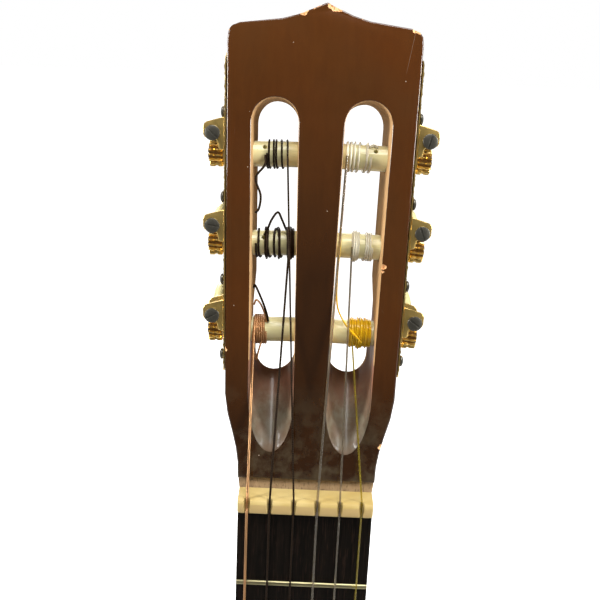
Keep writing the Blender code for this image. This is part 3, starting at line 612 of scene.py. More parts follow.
def bone(name):
    """Yellowed bone: darker tan on the flat top as painted shade from the light above, lighter
    on edges and back.
    """
    mat, tree, shader = finish(name)
    grime = placed(tree, GRIME, Scale=260.0)
    wear = placed(tree, WEAR, Speck_Scale=600.0, Scratch_Scale=420.0)
    # Painted shade: faces that look straight out from the neck, such as the nut's flat top, get
    # a darker tan, for the light from above that reaches them less than the back.
    facing = axes(tree, node(tree, "ShaderNodeNewGeometry").outputs["Normal"])
    shaded_top_face = rising(tree, facing["Y"], -0.93, -0.995)
    light = blend(tree, grime["Blotches"], (0.5, 0.38, 0.155), (0.42, 0.3, 0.1))
    tone = blend(tree, shaded_top_face, light, (0.46, 0.32, 0.125))
    coat(tree, shader, blend(tree, wear["Scratches"], tone, (0.3, 0.17, 0.05)),
         grime["Clouds"], 0.35, 0.55)
    bump(tree, shader, grime["Clouds"], 0.05, 0.0001)
    return mat


# %% Finishes
LACQUER = lacquer("head_lacquer", (0.07, 0.0215, 0.0026), (0.024, 0.0078, 0.0012), 0.7)
PLAIN_LACQUER = lacquer("plain_lacquer", (0.07, 0.0215, 0.0026), (0.024, 0.0078, 0.0012), 0.0)
SLOT_WALL = plain_wood("slot_wall_wood", (0.54, 0.34, 0.165), (0.42, 0.25, 0.11), 0.7,
                       shine=0.02)
RAMP_WOOD = dusty_shaded_ramp("dusty_shaded_ramp_wood")
CHIP_WOOD = plain_wood("bare_chip_wood", (0.85, 0.5, 0.24), (0.7, 0.36, 0.15), 0.7)
# The band's paler wood is painted light from above on the core below the veneer.
BAND_WOOD_PAINTED_LIGHT = plain_wood("band_wood_painted_light", (0.38, 0.26, 0.14), (0.26, 0.17, 0.09), 0.5)
EBONY = plain_wood("fingerboard_wood", (0.008, 0.0055, 0.0035), (0.002, 0.0015, 0.001), 0.5,
                   stretch=(420.0, 420.0, 22.0), shine=0.05)
BONE = bone("aged_bone_shaded_top")
CREAM = moulded("cream_plastic", (0.76, 0.7, 0.38), (0.64, 0.56, 0.28), 0.3, 60.0)
GILT = metal("gilt_brass", (0.98, 0.7, 0.24), (0.52, 0.31, 0.07), 0.26)
DULL_GILT = metal("dull_gilt_roots", (0.22, 0.11, 0.03), (0.06, 0.03, 0.01), 0.5)
FRET_METAL = metal("fret_metal", (0.4, 0.36, 0.2), (0.13, 0.11, 0.055), 0.3)
DARK_STEEL = metal("dark_steel", (0.17, 0.16, 0.13), (0.02, 0.02, 0.018), 0.36)
STEEL = metal("pin_steel", (0.55, 0.53, 0.5), (0.25, 0.23, 0.2), 0.3)
COPPER_WOUND = wound("copper_wound_string", (0.74, 0.42, 0.2), (0.3, 0.14, 0.06), 0.33)
DARK_WOUND = wound("tarnished_wound_string", (0.05, 0.033, 0.022), (0.012, 0.008, 0.006), 0.45)
CLEAR_NYLON = moulded("clear_nylon", (0.92, 0.87, 0.68), (0.86, 0.8, 0.6), 0.12, 120.0, 0.35)
CLEAR_RUN = moulded("clear_nylon_run", (0.5, 0.44, 0.33), (0.4, 0.34, 0.25), 0.16, 60.0, 0.9)
YELLOW_RUN = moulded("yellow_nylon_run", (0.62, 0.5, 0.06), (0.5, 0.38, 0.03), 0.15, 60.0, 0.85)
YELLOW_NYLON = moulded("yellow_nylon", (0.93, 0.64, 0.02), (0.85, 0.5, 0.01), 0.16, 120.0,
                       0.2)
print("finishes:", len(bpy.data.materials))

# %% [markdown]
# The head leans back from the neck, so its pieces are drawn upright, in the head's own
# directions: x across, y into the wood, z up the face. One matrix tilts them all into place.
# Each tuner has a matrix as well, measured from the middle of its slot. The bass side is
# the treble side mirrored, so a piece drawn once fits all six.

# %% Places on the head
HEAD_TILT = math.radians(12.64)
SIDE_TAPER = math.radians(1.16)
HEAD = Matrix.Translation((0.0, -0.6, 5.0)) @ Matrix.Rotation(-HEAD_TILT, 4, "X")
HERE = Matrix.Identity(4)
SIDE_VIEW = Matrix(((0, 1, 0, 0), (0, 0, 1, 0), (1, 0, 0, 0), (0, 0, 0, 1)))
STRINGS = (6, 5, 4, 3, 2, 1)
SCALE_LENGTH = 650.0
BODY_END = -325.0
BODY_LENGTH = 490.0
HOLE_Z, HOLE_RADIUS = -483.5, 42.5
SLOT_LOW = 40.0
SLOT_OFFSET = 15.5
ROLLER_V = {4: 135.0, 5: 100.2, 6: 65.2, 3: 135.0, 2: 100.2, 1: 65.2}
ROLLER_DEPTH = 10.1
SLOT_HALF_WIDTH = 8.9


def side_of(number):
    return -1 if number > 3 else 1


def slot_middle(v):
    return SLOT_OFFSET + (v - SLOT_LOW) * math.tan(SIDE_TAPER)


def at_station(side, v):
    """Matrix of a place beside a slot: x outwards, y into the wood, z up."""
    shift = Matrix.Translation((side * slot_middle(v), 0.0, v))
    mirror = Matrix.Scale(side, 4, (1.0, 0.0, 0.0))
    return HEAD @ shift @ mirror @ Matrix.Rotation(SIDE_TAPER, 4, "Y")


def head_point(side, out, up):
    """Across and up on the head's face for a place measured from the slot's low end."""
    sin, cos = math.sin(SIDE_TAPER), math.cos(SIDE_TAPER)
    return side * (SLOT_OFFSET + out * cos + up * sin), SLOT_LOW - out * sin + up * cos


def beside(number, out=0.0, depth=0.0, up=0.0):
    """Matrix of a place measured from where a string's roller crosses the face."""
    return (at_station(side_of(number), ROLLER_V[number])
            @ Matrix.Translation((out, depth, up)))


def roller_place(number):
    return beside(number, depth=ROLLER_DEPTH)


print("roller of string 3 at", roller_place(3).translation)

# %% [markdown]
# The head's core is cedar with a D-shaped back that grows square towards the top. It is
# skinned through cross sections, as a carver works from templates. The outline at each
# height comes from one short table, with its shoulders, straight sides and low peak.

# %% Head core
HEAD_HALF_WIDTHS = [(0.0, 27.0), (5.0, 27.8), (12.0, 28.1), (18.0, 29.0), (24.0, 30.5),
                    (32.0, 32.7), (40.0, 33.9), (170.0, 36.5), (176.0, 36.5),
                    (179.0, 36.1), (180.6, 34.9), (181.8, 32.0), (183.8, 16.4),
                    (184.6, 13.5), (185.6, 10.0), (188.0, 4.2), (189.8, 0.4)]
SEAM = 2.15


def table_value(table, place):
    for (a, low), (b, high) in zip(table, table[1:]):
        if place <= b:
            return low + (high - low) * max(0.0, (place - a) / (b - a))
    return table[-1][1]


def d_ring(half_width, depth, power, y, z, lean, steps=30):
    """Flat front and a rounded back; lean tips the ring's depth towards the neck."""
    ring = []
    for i in range(steps + 1):
        cos, sin = math.cos(math.pi * i / steps), math.sin(math.pi * i / steps)
        across = math.copysign(abs(cos) ** (2 / power), cos) * half_width
        deep = depth * abs(sin) ** (2 / power)
        ring.append(Vector((across, y + deep * math.cos(lean), z - deep * math.sin(lean))))
    return ring


def core_rings():
    rings = [d_ring(27.0, 14.7, 2.4, 0.8, 0.15, 0.0),
             d_ring(27.0, 15.0, 2.5, 0.8, 4.9, math.radians(3.0))]
    heights = [4.0, 6.0, 8.0, 10.0, 12.0, 15.0, 18.0, 21.0, 24.0, 28.0, 32.0, 36.0, 40.0]
    heights += [v for v, _ in HEAD_HALF_WIDTHS if v > 41.0]
    for v in heights:
        share = min(1.0, max(0.0, (v - 4.0) / 34.0))
        share = share * share * (3 - 2 * share)
        front = HEAD @ Vector((0.0, SEAM, v))
        lean = math.radians(6.0) + (HEAD_TILT - math.radians(6.0)) * share
        rings.append(d_ring(table_value(HEAD_HALF_WIDTHS, v) - 0.02, 14.35 + 4.7 * share,
                            2.8 + 10.0 * share, front.y, front.z, lean))
    return rings


core = skin("head_core", core_rings())
core.data.materials.append(PLAIN_LACQUER)
print("head core:", len(core.data.polygons), "faces")

# %% [markdown]
# Two long round-ended slots go right through the head. Below each, a scooped ramp lets the
# strings down to the nut. Both are cut with one tool that is pushed through the wood, and
# the cut faces take the tool's own finish, so walls and ramps can differ from the face.

# %% Slots, ramps and roller bores
WOOD_DEPTH = 19.0
WALL_TAPER = 1.1
TOP_END_TAPER = 1.2


def slot_tool(side):
    half, outline = SLOT_HALF_WIDTH, []
    for centre, start in ((107.6, 0.0), (14.9, math.pi)):
        for i in range(17):
            angle = start + math.pi * i / 16
            outline.append(head_point(side, half * math.cos(angle),
                                      centre + half * math.sin(angle)))
    tool = cut_out("slot_tool", outline, -6.0, (0.0, 40.0, 0.0))
    for corner in tool.data.vertices:
        depth = corner.co.y / WOOD_DEPTH
        out = side * corner.co.x - slot_middle(corner.co.z)
        corner.co.x -= side * WALL_TAPER * depth * max(0.0, min(1.0, out / half))
        if corner.co.z > 100.0:
            corner.co.z -= TOP_END_TAPER * (1.0 - depth)
    tool.data.materials.append(SLOT_WALL)
    return tool


def ramp_tool(side):
    half, slope = SLOT_HALF_WIDTH - 0.1, 1.382
    shift = 16.7 - 40.0 - 8.0 * slope
    outline = [head_point(side, half, 42.0 + shift), head_point(side, -half, 42.0 + shift)]
    for i in range(25):
        angle = math.pi * i / 24
        outline.append(head_point(side, -half * math.cos(angle),
                                  22.0 * (1 - math.sin(angle)) + shift))
    rise = 32.0 * slope
    tool = cut_out("ramp_tool", outline, -8.0,
                   (side * rise * math.sin(SIDE_TAPER), 32.0, rise * math.cos(SIDE_TAPER)))
    tool.data.materials.append(RAMP_WOOD)
    return tool


def round_tool(name, radius, start, length, place, turn="Y", vertices=24):
    """Cylinder along local x, for bores and pins."""
    bpy.ops.object.select_all(action="DESELECT")
    bpy.ops.mesh.primitive_cylinder_add(vertices=vertices, radius=radius, depth=length)
    tool = bpy.context.object
    tool.name = name
    tool.data.transform(place @ Matrix.Translation((start + length / 2, 0.0, 0.0))
                        @ Matrix.Rotation(math.pi / 2, 4, turn))
    return tool


for side in (-1, 1):
    for tool in (slot_tool(side), ramp_tool(side)):
        tool.data.transform(HEAD)
        cut(core, tool)
for number in STRINGS:
    for radius, start, length in ((5.35, 0.0, 26.0), (1.75, -14.0, 14.0)):
        bore = round_tool("bore_tool", radius, start, length, roller_place(number))
        bore.data.materials.append(SLOT_WALL)
        cut(core, bore)
# The low band of the core's front, below the veneer, takes a paler wood finish as painted light
# from above.
core.data.materials.append(BAND_WOOD_PAINTED_LIGHT)
for face in core.data.polygons:
    if face.center.z < 10.6 and face.center.y < 5.0 and face.normal.y < -0.8:
        face.material_index = len(core.data.materials) - 1
settle(core, HERE, "guitar", "lacquered_wood", "headstock")
print("core after cutting:", len(core.data.polygons), "faces")

# %% [markdown]
# A thin dark veneer faces the head. Its edges are softened by wear, and it has lost small
# chips along its outline, where pale wood shows. It is cut out as a flat board and given
# the slots and ramps. Its front edges are rounded last, then nicked with lumpy little tools.

# %% Head veneer
def veneer_outline():
    half = []
    for low, high in zip((5.3, 12, 18, 24, 32, 40, 176), (12, 18, 24, 32, 40, 176, 177.5)):
        steps = 2 if high < 100 else 1
        half += [low + (high - low) * i / steps for i in range(steps)]
    half += [v for v, _ in HEAD_HALF_WIDTHS if v > 177.5]
    right = [(table_value(HEAD_HALF_WIDTHS, v), v) for v in half]
    return right + [(-u, v) for u, v in reversed(right)]


def front_edges(obj, y, angle=30.0):
    """Select only the sharp edges that lie in the plane at y, and stay in edit mode."""
    edit(obj, "EDGE")
    bpy.ops.mesh.select_all(action="DESELECT")
    bpy.ops.mesh.edges_select_sharp(sharpness=math.radians(angle))
    leave()
    mesh = obj.data
    sharp = {edge.index for edge in mesh.edges if edge.select}
    at_front = [abs(v.co.y - y) < 0.01 for v in mesh.vertices]
    chosen = {e.index for e in mesh.edges
              if e.index in sharp and at_front[e.vertices[0]] and at_front[e.vertices[1]]}
    for face in mesh.polygons:
        face.select = False
    for vert in mesh.vertices:
        vert.select = False
    for edge in mesh.edges:
        edge.select = edge.index in chosen
        if edge.select:
            for index in edge.vertices:
                mesh.vertices[index].select = True
    edit(obj, "EDGE")
    return len(chosen)


veneer = cut_out("head_face", veneer_outline(), 0.0, (0.0, SEAM, 0.0))
veneer.data.materials.append(LACQUER)
for side in (-1, 1):
    for tool in (slot_tool(side), ramp_tool(side)):
        cut(veneer, tool)
count = front_edges(veneer, 0.0)
bpy.ops.mesh.bevel(offset=0.7, segments=4, profile=0.5, affect="EDGES")
leave()
print("rounded", count, "edges of the veneer")

# %% [markdown]
# Each chip is a ball squeezed out of round by noise. Where it meets the veneer's edge it
# takes a bite, and its pale finish stays on the torn face.

# %% Chips along the edges
CHIPS = [(-8.6, 186.3, 1.5), (-7.6, 186.9, 1.0), (-4.6, 188.2, 0.9), (-3.4, 188.7, 0.9),
         (-2.2, 189.2, 0.8), (1.6, 189.0, 1.4), (3.0, 188.4, 1.7), (4.8, 187.7, 1.3),
         (33.2, 181.6, 1.6), (34.6, 181.1, 1.5), (36.6, 177.6, 0.6), (-36.3, 179.0, 0.7),
         (-35.6, 180.6, 0.7), (13.6, 184.7, 0.6), (15.2, 184.4, 0.4), (-16.2, 184.2, 0.45),
         (-34.9, 58.2, 1.4), (-34.5, 61.0, 0.6), (26.3, 93.2, 1.1), (26.0, 91.4, 0.6),
         (29.6, 20.6, 1.4), (28.9, 8.9, 1.2), (28.8, 6.6, 0.8), (-36.7, 160.5, 0.5)]


def chip_tool(index, u, v, size):
    bpy.ops.object.select_all(action="DESELECT")
    bpy.ops.mesh.primitive_ico_sphere_add(subdivisions=2, radius=size)
    tool = bpy.context.object
    for vert in tool.data.vertices:
        wobble = noise.noise(vert.co * (1.3 / size) + Vector((index * 3.7, 0.0, 0.0)))
        vert.co *= 1.0 + 0.55 * wobble
        vert.co.y *= 0.75
    tool.data.transform(Matrix.Translation((u, -0.15, v)))
    tool.data.materials.append(CHIP_WOOD)
    return tool


for index, (u, v, size) in enumerate(CHIPS):
    cut(veneer, chip_tool(index, u, v, size))
settle(veneer, HEAD, "guitar", "lacquered_wood", "head_veneer")
print("chips:", len(CHIPS), "veneer faces:", len(veneer.data.polygons))

# %% [markdown]
# The nut is a bone bar with a flat top and a back that slopes down to the head. Each string
# lies in its own narrow slot. Old saw marks fan out on the back face beside the slots.

# %% Nut
NUT_HALF = 27.0
STRING_RADIUS = {6: 0.56, 5: 0.455, 4: 0.38, 3: 0.51, 2: 0.41, 1: 0.355}
BRIDGE_X = {number: (3.5 - number) * 11.6 for number in STRINGS}
NUT_X = {6: -23.2, 5: -14.2, 4: -4.7, 3: 4.7, 2: 13.7, 1: 22.4}


def nut_ring(x, sink=0.0):
    profile = [(0.02, 0.5), (0.02, -8.2), (0.15, -8.75), (0.6, -9.08), (4.2, -9.08),
               (4.9, -8.85), (5.78, -8.1), (5.78, 0.5)]
    return [Vector((x, min(0.5, y + sink), z)) for z, y in profile]


nut = skin("bone_nut", [nut_ring(-27.0, 0.9), nut_ring(-26.7, 0.35), nut_ring(-26.0, 0.08),
                        nut_ring(-25.0), nut_ring(25.0), nut_ring(26.0, 0.08),
                        nut_ring(26.7, 0.35), nut_ring(27.0, 0.9)])
for number in STRINGS:
    half, x = STRING_RADIUS[number] + 0.34, NUT_X[number]
    for half, bed in ((half, -8.22), (half + 0.35, -8.95)):
        outline = [(-3.0, bed), (1.2, bed), (9.0, bed + 3.67), (9.0, -14.0), (-3.0, -14.0)]
        saw = cut_out("nut_saw", outline, -half, (0.0, 2 * half, 0.0))
        saw.data.transform(Matrix.Translation((x, 0.0, 0.0)) @ SIDE_VIEW)
        cut(nut, saw)
bevel(nut, 0.42, 3, 28.0)
settle(nut, HERE, "guitar", "bone", "nut", BONE)
print("nut faces:", len(nut.data.polygons))

# %% [markdown]
# The fingerboard is a long dark wedge that widens towards the body. The frets are nineteen
# wires with a rounded crown, pressed in across it. One crown is drawn and repeated at the
# places that divide the 650 mm scale into twelfths of an octave.

# %% Fingerboard and frets
FRET_COUNT = 19
FRET_HALF_WIDTH, FRET_HEIGHT, FRET_FOOT = 1.1, 1.02, -6.45


def board_half(z):
    return NUT_HALF + 4.5 * z / BODY_END


def board_ring(z):
    half = board_half(z)
    return [Vector(p) for p in ((-half, -0.3, z), (-half, -6.2, z), (-half + 0.3, -6.5, z),
                                (half - 0.3, -6.5, z), (half, -6.2, z), (half, -0.3, z))]


board = skin("dark_board", [board_ring(z) for z in (-0.3, -110.0, -220.0, -330.0, -441.0)])
settle(board, HERE, "guitar", "fingerboard_wood", "fingerboard", EBONY)

wires = []
for fret in range(1, FRET_COUNT + 1):
    z = -SCALE_LENGTH * (1 - 2 ** (-fret / 12))
    half = board_half(z) - 0.15
    crown = [(math.cos(a) * FRET_HALF_WIDTH, FRET_FOOT - math.sin(a) * FRET_HEIGHT)
             for a in (math.pi * k / 8 for k in range(9))]
    wire = skin("fret", [[Vector((x, y * grow, z + dz)) for dz, y in crown]
                         for x, grow in ((-half, 0.97), (-half + 0.5, 1.0),
                                         (half - 0.5, 1.0), (half, 0.97))])
    wires.append(wire)
frets = join(wires, "fret_wires")
settle(frets, HERE, "guitar", "gilt_brass", "fingerboard", FRET_METAL)
print("frets:", len(wires))

# %% [markdown]
# A roller is a cream plastic tube on a steel pin. It spans the slot, and a small cross hole
# holds the string's end. It is turned from a cylinder with softened ends.

# %% String rollers
def spun(name, profile, sides=28, axis="X"):
    """Round piece on one axis from (distance, radius) pairs."""
    rings = []
    for along_axis, radius in profile:
        ring = []
        for angle in circle_angles(sides):
            a, b = radius * math.cos(angle), radius * math.sin(angle)
            ring.append(Vector((along_axis, a, b) if axis == "X" else (a, along_axis, b)))
        rings.append(ring)
    return skin(name, rings)


def make_roller(number):
    tube = spun("string_roller_%d" % number,
                [(-8.9, 4.6), (-8.8, 4.85), (-8.5, 5.0), (17.6, 5.0), (18.0, 4.7)])
    hole = round_tool("cross_hole", 0.85, -7.0, 14.0,
                      Matrix.Translation((4.0, 0.0, 0.0)) @ Matrix.Rotation(-0.5, 4, "X")
                      @ Matrix.Rotation(math.pi / 2, 4, "Z"))
    cut(tube, hole)
    bevel(tube, 0.15, 2, 45.0)
    pin = spun("roller_pin_%d" % number, [(-13.2, 1.2), (-13.0, 1.4), (-8.7, 1.4)], 16)
    axle = spun("roller_axle_%d" % number, [(17.8, 1.9), (25.9, 1.9), (26.1, 1.7)], 16)
    for piece, slot, paint in ((tube, "cream_plastic", CREAM), (pin, "dark_steel", STEEL),
                               (axle, "dark_steel", STEEL)):
        settle(piece, roller_place(number), "post_%d" % number, slot, "roller_%d" % number,
               paint)


for number in STRINGS:
    make_roller(number)
print("rollers made")

# %% [markdown]
# The gear has fourteen slanted brass teeth, and a screw with a domed head holds it on. The
# worm beside it is a steel shaft with a thread wound round, and a slotted disc at its front
# end that shows above the plate's folded ear.

# %% Gears and worms
WORM_OUT, WORM_UP, WORM_PITCH, WORM_RADIUS = 23.6, 6.8, 2.2, 1.898
GEAR_TEETH = 14
GEAR_PITCH_RADIUS = GEAR_TEETH * WORM_PITCH / (2 * math.pi)


def tooth_ring(out, side, shrink):
    """Outline of the gear at one distance out, twisted with the worm's lead."""
    twist = (0.45 * side * (out - WORM_OUT) * WORM_PITCH
             / (2 * math.pi * WORM_RADIUS * GEAR_PITCH_RADIUS))
    ring = []
    for tooth in range(GEAR_TEETH):
        middle = 2 * math.pi * tooth / GEAR_TEETH + twist
        for radius, width in ((4.15, -0.62), (4.75, -0.42), (5.25, -0.2), (5.25, 0.2),
                              (4.75, 0.42), (4.15, 0.62)):
            angle = middle + width / radius
            ring.append(Vector((out, -radius * shrink * math.sin(angle),
                                radius * shrink * math.cos(angle))))
    return ring


def make_gear(number):
    station, body, solid = roller_place(number), "post_%d" % number, "gear_%d" % number
    wheel = skin("brass_gear_%d" % number,
                 [tooth_ring(out, side_of(number), shrink) for out, shrink in
                  ((20.45, 0.9), (20.8, 0.99), (22.3, 1.0), (22.7, 0.92), (23.4, 0.92),
                   (23.8, 0.99), (25.5, 0.99), (25.85, 0.88))])
    settle(wheel, station, body, "gilt_brass", solid, GILT, smooth=28.0)
    # A dark ring fills the roots between the teeth.
    root_ring = spun("gear_roots_%d" % number, [(20.5, 4.1), (20.6, 4.32), (25.7, 4.3),
                                           (25.8, 4.0)], 28)
    settle(root_ring, station, body, "gilt_brass", solid, DULL_GILT)
    screw = spun("gear_screw_%d" % number, [(25.5, 2.3), (26.0, 2.25), (26.4, 1.8),
                                            (26.55, 0.9)], 20)
    groove = cut_out("screw_groove", [(-4, -0.3), (4, -0.3), (4, 0.3), (-4, 0.3)], 0.0,
                     (0, 1, 0))
    groove.data.transform(Matrix.Translation((26.15, 0, 0))
                          @ Matrix.Rotation(-math.pi / 2, 4, "Z"))
    cut(screw, groove)
    settle(screw, station, body, "dark_steel", solid, DARK_STEEL)


def make_worm(number):
    """Shaft along the depth; y here runs from the front disc into the wood."""
    side = side_of(number)
    shaft = spun("worm_shaft_core_%d" % number,
                 [(0.32, 1.35), (5.8, 1.35), (6.2, 1.2), (14.3, 1.2), (14.7, 1.35),
                  (20.1, 1.35), (20.15, 2.2), (20.3, 2.3), (21.4, 2.3), (21.6, 2.1),
                  (21.65, 1.35), (36.0, 1.3)], 20, "Y")
    start = ROLLER_DEPTH + WORM_PITCH * 1.5
    rings, steps = [], 3 * 24
    for k in range(steps + 1):
        angle = 2 * math.pi * k / 24 - math.pi / 2
        depth = start - WORM_PITCH * k / 24
        fade = min(1.0, k / 4, (steps - k) / 4)
        ring = []
        for dy, radius in ((0.58, 1.1), (0.22, 2.25), (-0.22, 2.25), (-0.58, 1.1)):
            radius = 1.1 + (radius - 1.1) * max(0.1, fade)
            ring.append(Vector((side * radius * math.cos(angle), depth + dy,
                                radius * math.sin(angle))))
        rings.append(ring)
    thread = skin("worm_thread_%d" % number, rings)
    disc = spun("worm_disc_%d" % number, [(0.3, 2.85), (-0.35, 2.95), (-0.62, 2.8),
                                          (-0.78, 2.4), (-0.8, 1.0)], 28, "Y")
    groove = cut_out("disc_groove", [(-4, -0.32), (4, -0.32), (4, 0.32), (-4, 0.32)],
                     -1.5, (0, 0.95, 0))
    groove.data.transform(Matrix.Rotation(0.6 * number, 4, "Y"))
    cut(disc, groove)
    bevel(disc, 0.08, 2, 40.0)
    for piece in (shaft, thread, disc):
        settle(piece, beside(number, WORM_OUT, up=WORM_UP), "tuner_%d" % number,
               "dark_steel", "worm_shaft_%d" % number, DARK_STEEL)


for number in STRINGS:
    make_gear(number)
    make_worm(number)
print("gears with", GEAR_TEETH, "teeth, worms with 3 turns")

# %% [markdown]
# Each side plate is thin gilt brass. Pairs of ears are folded out to carry the worms, and
# the plate between them is stamped with rounded scrolls. The plate is skinned through many
# thin sections, each with the stamp's height. The ears are cut out with a hook that leaves
# the worm open to the gear.

# %% Side plates
def stamped_height(depth, up):
    """Height of the stamped pattern: rounded scrolls that fade out at the plate's edges."""
    scroll = math.sin(up * 0.95 + 1.8 * math.sin(depth * 0.7)) * math.cos(depth * 0.9)
    beads = math.sin(up * 2.6) * math.sin(depth * 1.7 + 0.6 * math.sin(up * 0.5))
    return 0.36 * max(0.0, scroll) + 0.22 * max(0.0, beads)


PLATE_LOW, PLATE_HIGH = 9.5, 131.5
PLATE_INSIDE, PLATE_OUTSIDE = 18.67, 19.15
PLATE_STEP = 0.5


def plate_ring(up):
    """Section of the plate at one height: plain inside, stamped outside."""
    corner = max(0.0, 1.5 - min(up - PLATE_LOW, PLATE_HIGH - up)) * 1.3
    front, rear = 0.62 + corner, 19.6 - corner
    ring = [Vector((PLATE_INSIDE, rear, up)), Vector((PLATE_INSIDE, front, up))]
    for k in range(31):
        depth = front + (rear - front) * k / 30
        edge = 0.25 if k in (0, 30) else 0.0
        out = PLATE_OUTSIDE - edge + stamped_height(depth, up)
        ring.append(Vector((out, depth, up)))
    return ring


def ear_shape():
    arc = [(24.9 + 2.4 * math.cos(a), 9.0 + 2.3 * math.sin(a))
           for a in (math.pi * (0.42 - 0.5 * k / 8) for k in range(9))]
    return ([(19.2, 12.9), (21.6, 12.3)] + arc
            + [(27.2, 6.4), (26.6, 5.2), (24.8, 4.8), (22.6, 4.6), (21.6, 3.6),
               (21.3, 1.0), (19.2, 0.4)])


def make_plate(side, label):
    name = "tuner_plate_" + label
    station = at_station(side, 40.0)
    sheet = skin("side_plate_" + label, [plate_ring(PLATE_LOW + PLATE_STEP * k)
                                          for k in range(245)])
    settle(sheet, station, "guitar", "gilt_brass", name, GILT)
    for number in (n for n in STRINGS if side_of(n) == side):
        for depth, where in ((0.6, "front"), (18.4, "rear")):
            ear = cut_out("ear_%s_%d" % (where, number), ear_shape(), depth, (0, 1.2, 0))
            bevel(ear, 0.3, 3)
            settle(ear, beside(number), "guitar", "gilt_brass", name, GILT)
        fold = cut_out("fold_%d" % number, [(19.25, 1.0), (20.35, 1.3), (20.35, 11.3),
                                            (19.25, 11.8)], 0.75, (0, 18.6, 0))
        bevel(fold, 0.35, 3)
        settle(fold, beside(number), "guitar", "gilt_brass", name, GILT)
    for index, up in enumerate((16.0, 46.0, 78.0, 110.0)):
        for depth in (3.6,) if 0 < index < 3 else (3.6, 16.4):
            head = spun("plate_screw_%s_%d_%d" % (label, index, depth),
                        [(19.7, 2.2), (20.1, 2.2), (20.5, 1.8), (20.75, 1.0), (20.8, 0.3)],
                        20)
            settle(head, station @ Matrix.Translation((0, depth, up)), "guitar",
                   "dark_steel", name, DARK_STEEL)


make_plate(-1, "bass")
make_plate(1, "treble")
print("plates made, with six ears each")

# %% [markdown]
# The buttons are cream plastic, flat and waisted like a butterfly's wing, and the round
# neck at the front slips over the worm's shaft.

# %% Buttons
def make_button(number):
    table = [(23.4, 3.2, 3.2), (23.7, 3.5, 3.4), (26.5, 3.9, 3.3), (29.0, 5.4, 3.3),
             (31.0, 7.2, 3.5), (34.0, 8.6, 3.8), (37.0, 9.2, 4.05), (40.0, 9.45, 4.05),
             (42.5, 9.3, 3.7), (44.0, 8.6, 3.1), (44.8, 7.6, 2.3), (45.0, 6.4, 1.5)]
    rings = []
    for depth, tall, thick in table:
        waist = max(0.0, (depth - 30.0) / 15.0)
        ring = []
        for angle in circle_angles(32):
            a, b = math.cos(angle), math.sin(angle)
            pinch = 1.0 - 0.22 * waist * math.exp(-(b / 0.32) ** 2)
            ring.append(Vector((thick * a * pinch, depth - 0.9 * waist * (1 - abs(b)) ** 2,
                                tall * b)))
        rings.append(ring)
    piece = skin("wing_button_%d" % number, rings)
    settle(piece, beside(number, WORM_OUT, up=WORM_UP), "tuner_%d" % number,
           "cream_plastic", "button_%d" % number, CREAM, smooth=60.0)


for number in STRINGS:
    make_button(number)
print("buttons made")

# %% [markdown]
# The strings run from the rollers over the nut and the saddle to the tie block, where each
# passes through its hole and back under itself. The runs are thin round wires swept along
# the same route as the frame's strings. The three bass strings are wire-wrapped, and the
# trebles are clear and yellowed nylon.

# %% String runs
ROLLER_X = {6: -23.4, 5: -10.6, 4: -12.6, 3: 10.3, 2: 14.0, 1: 15.7}
STRING_FINISH = {6: COPPER_WOUND, 5: DARK_WOUND, 4: DARK_WOUND, 3: CLEAR_NYLON,
                 2: CLEAR_NYLON, 1: YELLOW_NYLON}
RUN_FINISH = {**STRING_FINISH, 3: CLEAR_RUN, 2: CLEAR_RUN, 1: YELLOW_RUN}
STRING_SLOT = {6: "wound_copper", 5: "wound_dark", 4: "wound_dark", 3: "nylon_clear",
               2: "nylon_clear", 1: "nylon_yellow"}
SADDLE_Z = -651.5


def under_string(z):
    """Height of the strings' undersides, from the nut's slots to the saddle."""
    return -8.3 - 2.4 * z / BODY_END


def string_route(number):
    """Centre line from the front of the roller to the tie block."""
    radius, x, end = STRING_RADIUS[number], NUT_X[number], BRIDGE_X[number]
    start = HEAD @ Vector((ROLLER_X[number], 4.8 - radius, ROLLER_V[number]))
    low = under_string(0.0) - radius
    slope = (start.y - low - 2.35) / (start.z - 6.1)
    crest = under_string(SADDLE_Z) - radius
    turn = [(x, low + slope * 5.2, 6.1), (x, low + slope * 1.6, 2.4), (x, low, 0.9)]
    run = [(x + (end - x) * t, low + (crest - low) * t, 0.9 - 651.8 * t)
           for t in (0.1, 0.25, 0.5, 0.75, 0.95, 1.0)]
    tie = [(end, crest + 0.25, -652.1), (end, -8.0, -656.3), (end, -6.0, -658.6),
           (end, -6.0, -672.6), (end, -6.6, -673.6), (end, -7.6, -674.0),
           (end, -9.0 - radius, -673.2), (end, -9.3 - radius, -672.3),
           (end + 0.8, -9.35 - radius, -666.0), (end + 1.6, -9.3 - radius, -659.4),
           (end + 2.2, -8.7, -657.8)]
    return [start] + [Vector(p) for p in turn + run + tie]


for number in STRINGS:
    run = sweep("string_run_%d" % number, string_route(number), STRING_RADIUS[number], 10)
    settle(run, HERE, "guitar", STRING_SLOT[number], "string_%d" % number,
           RUN_FINISH[number], smooth=60.0)
print("string runs laid")

# %% [markdown]
# On each roller the string's end winds round a few times, over and beside itself, and the
# cut end sticks out. A winding is drawn by the places where it crosses the roller's front,
# one after the other, starting from the run. Between two places it goes once round.

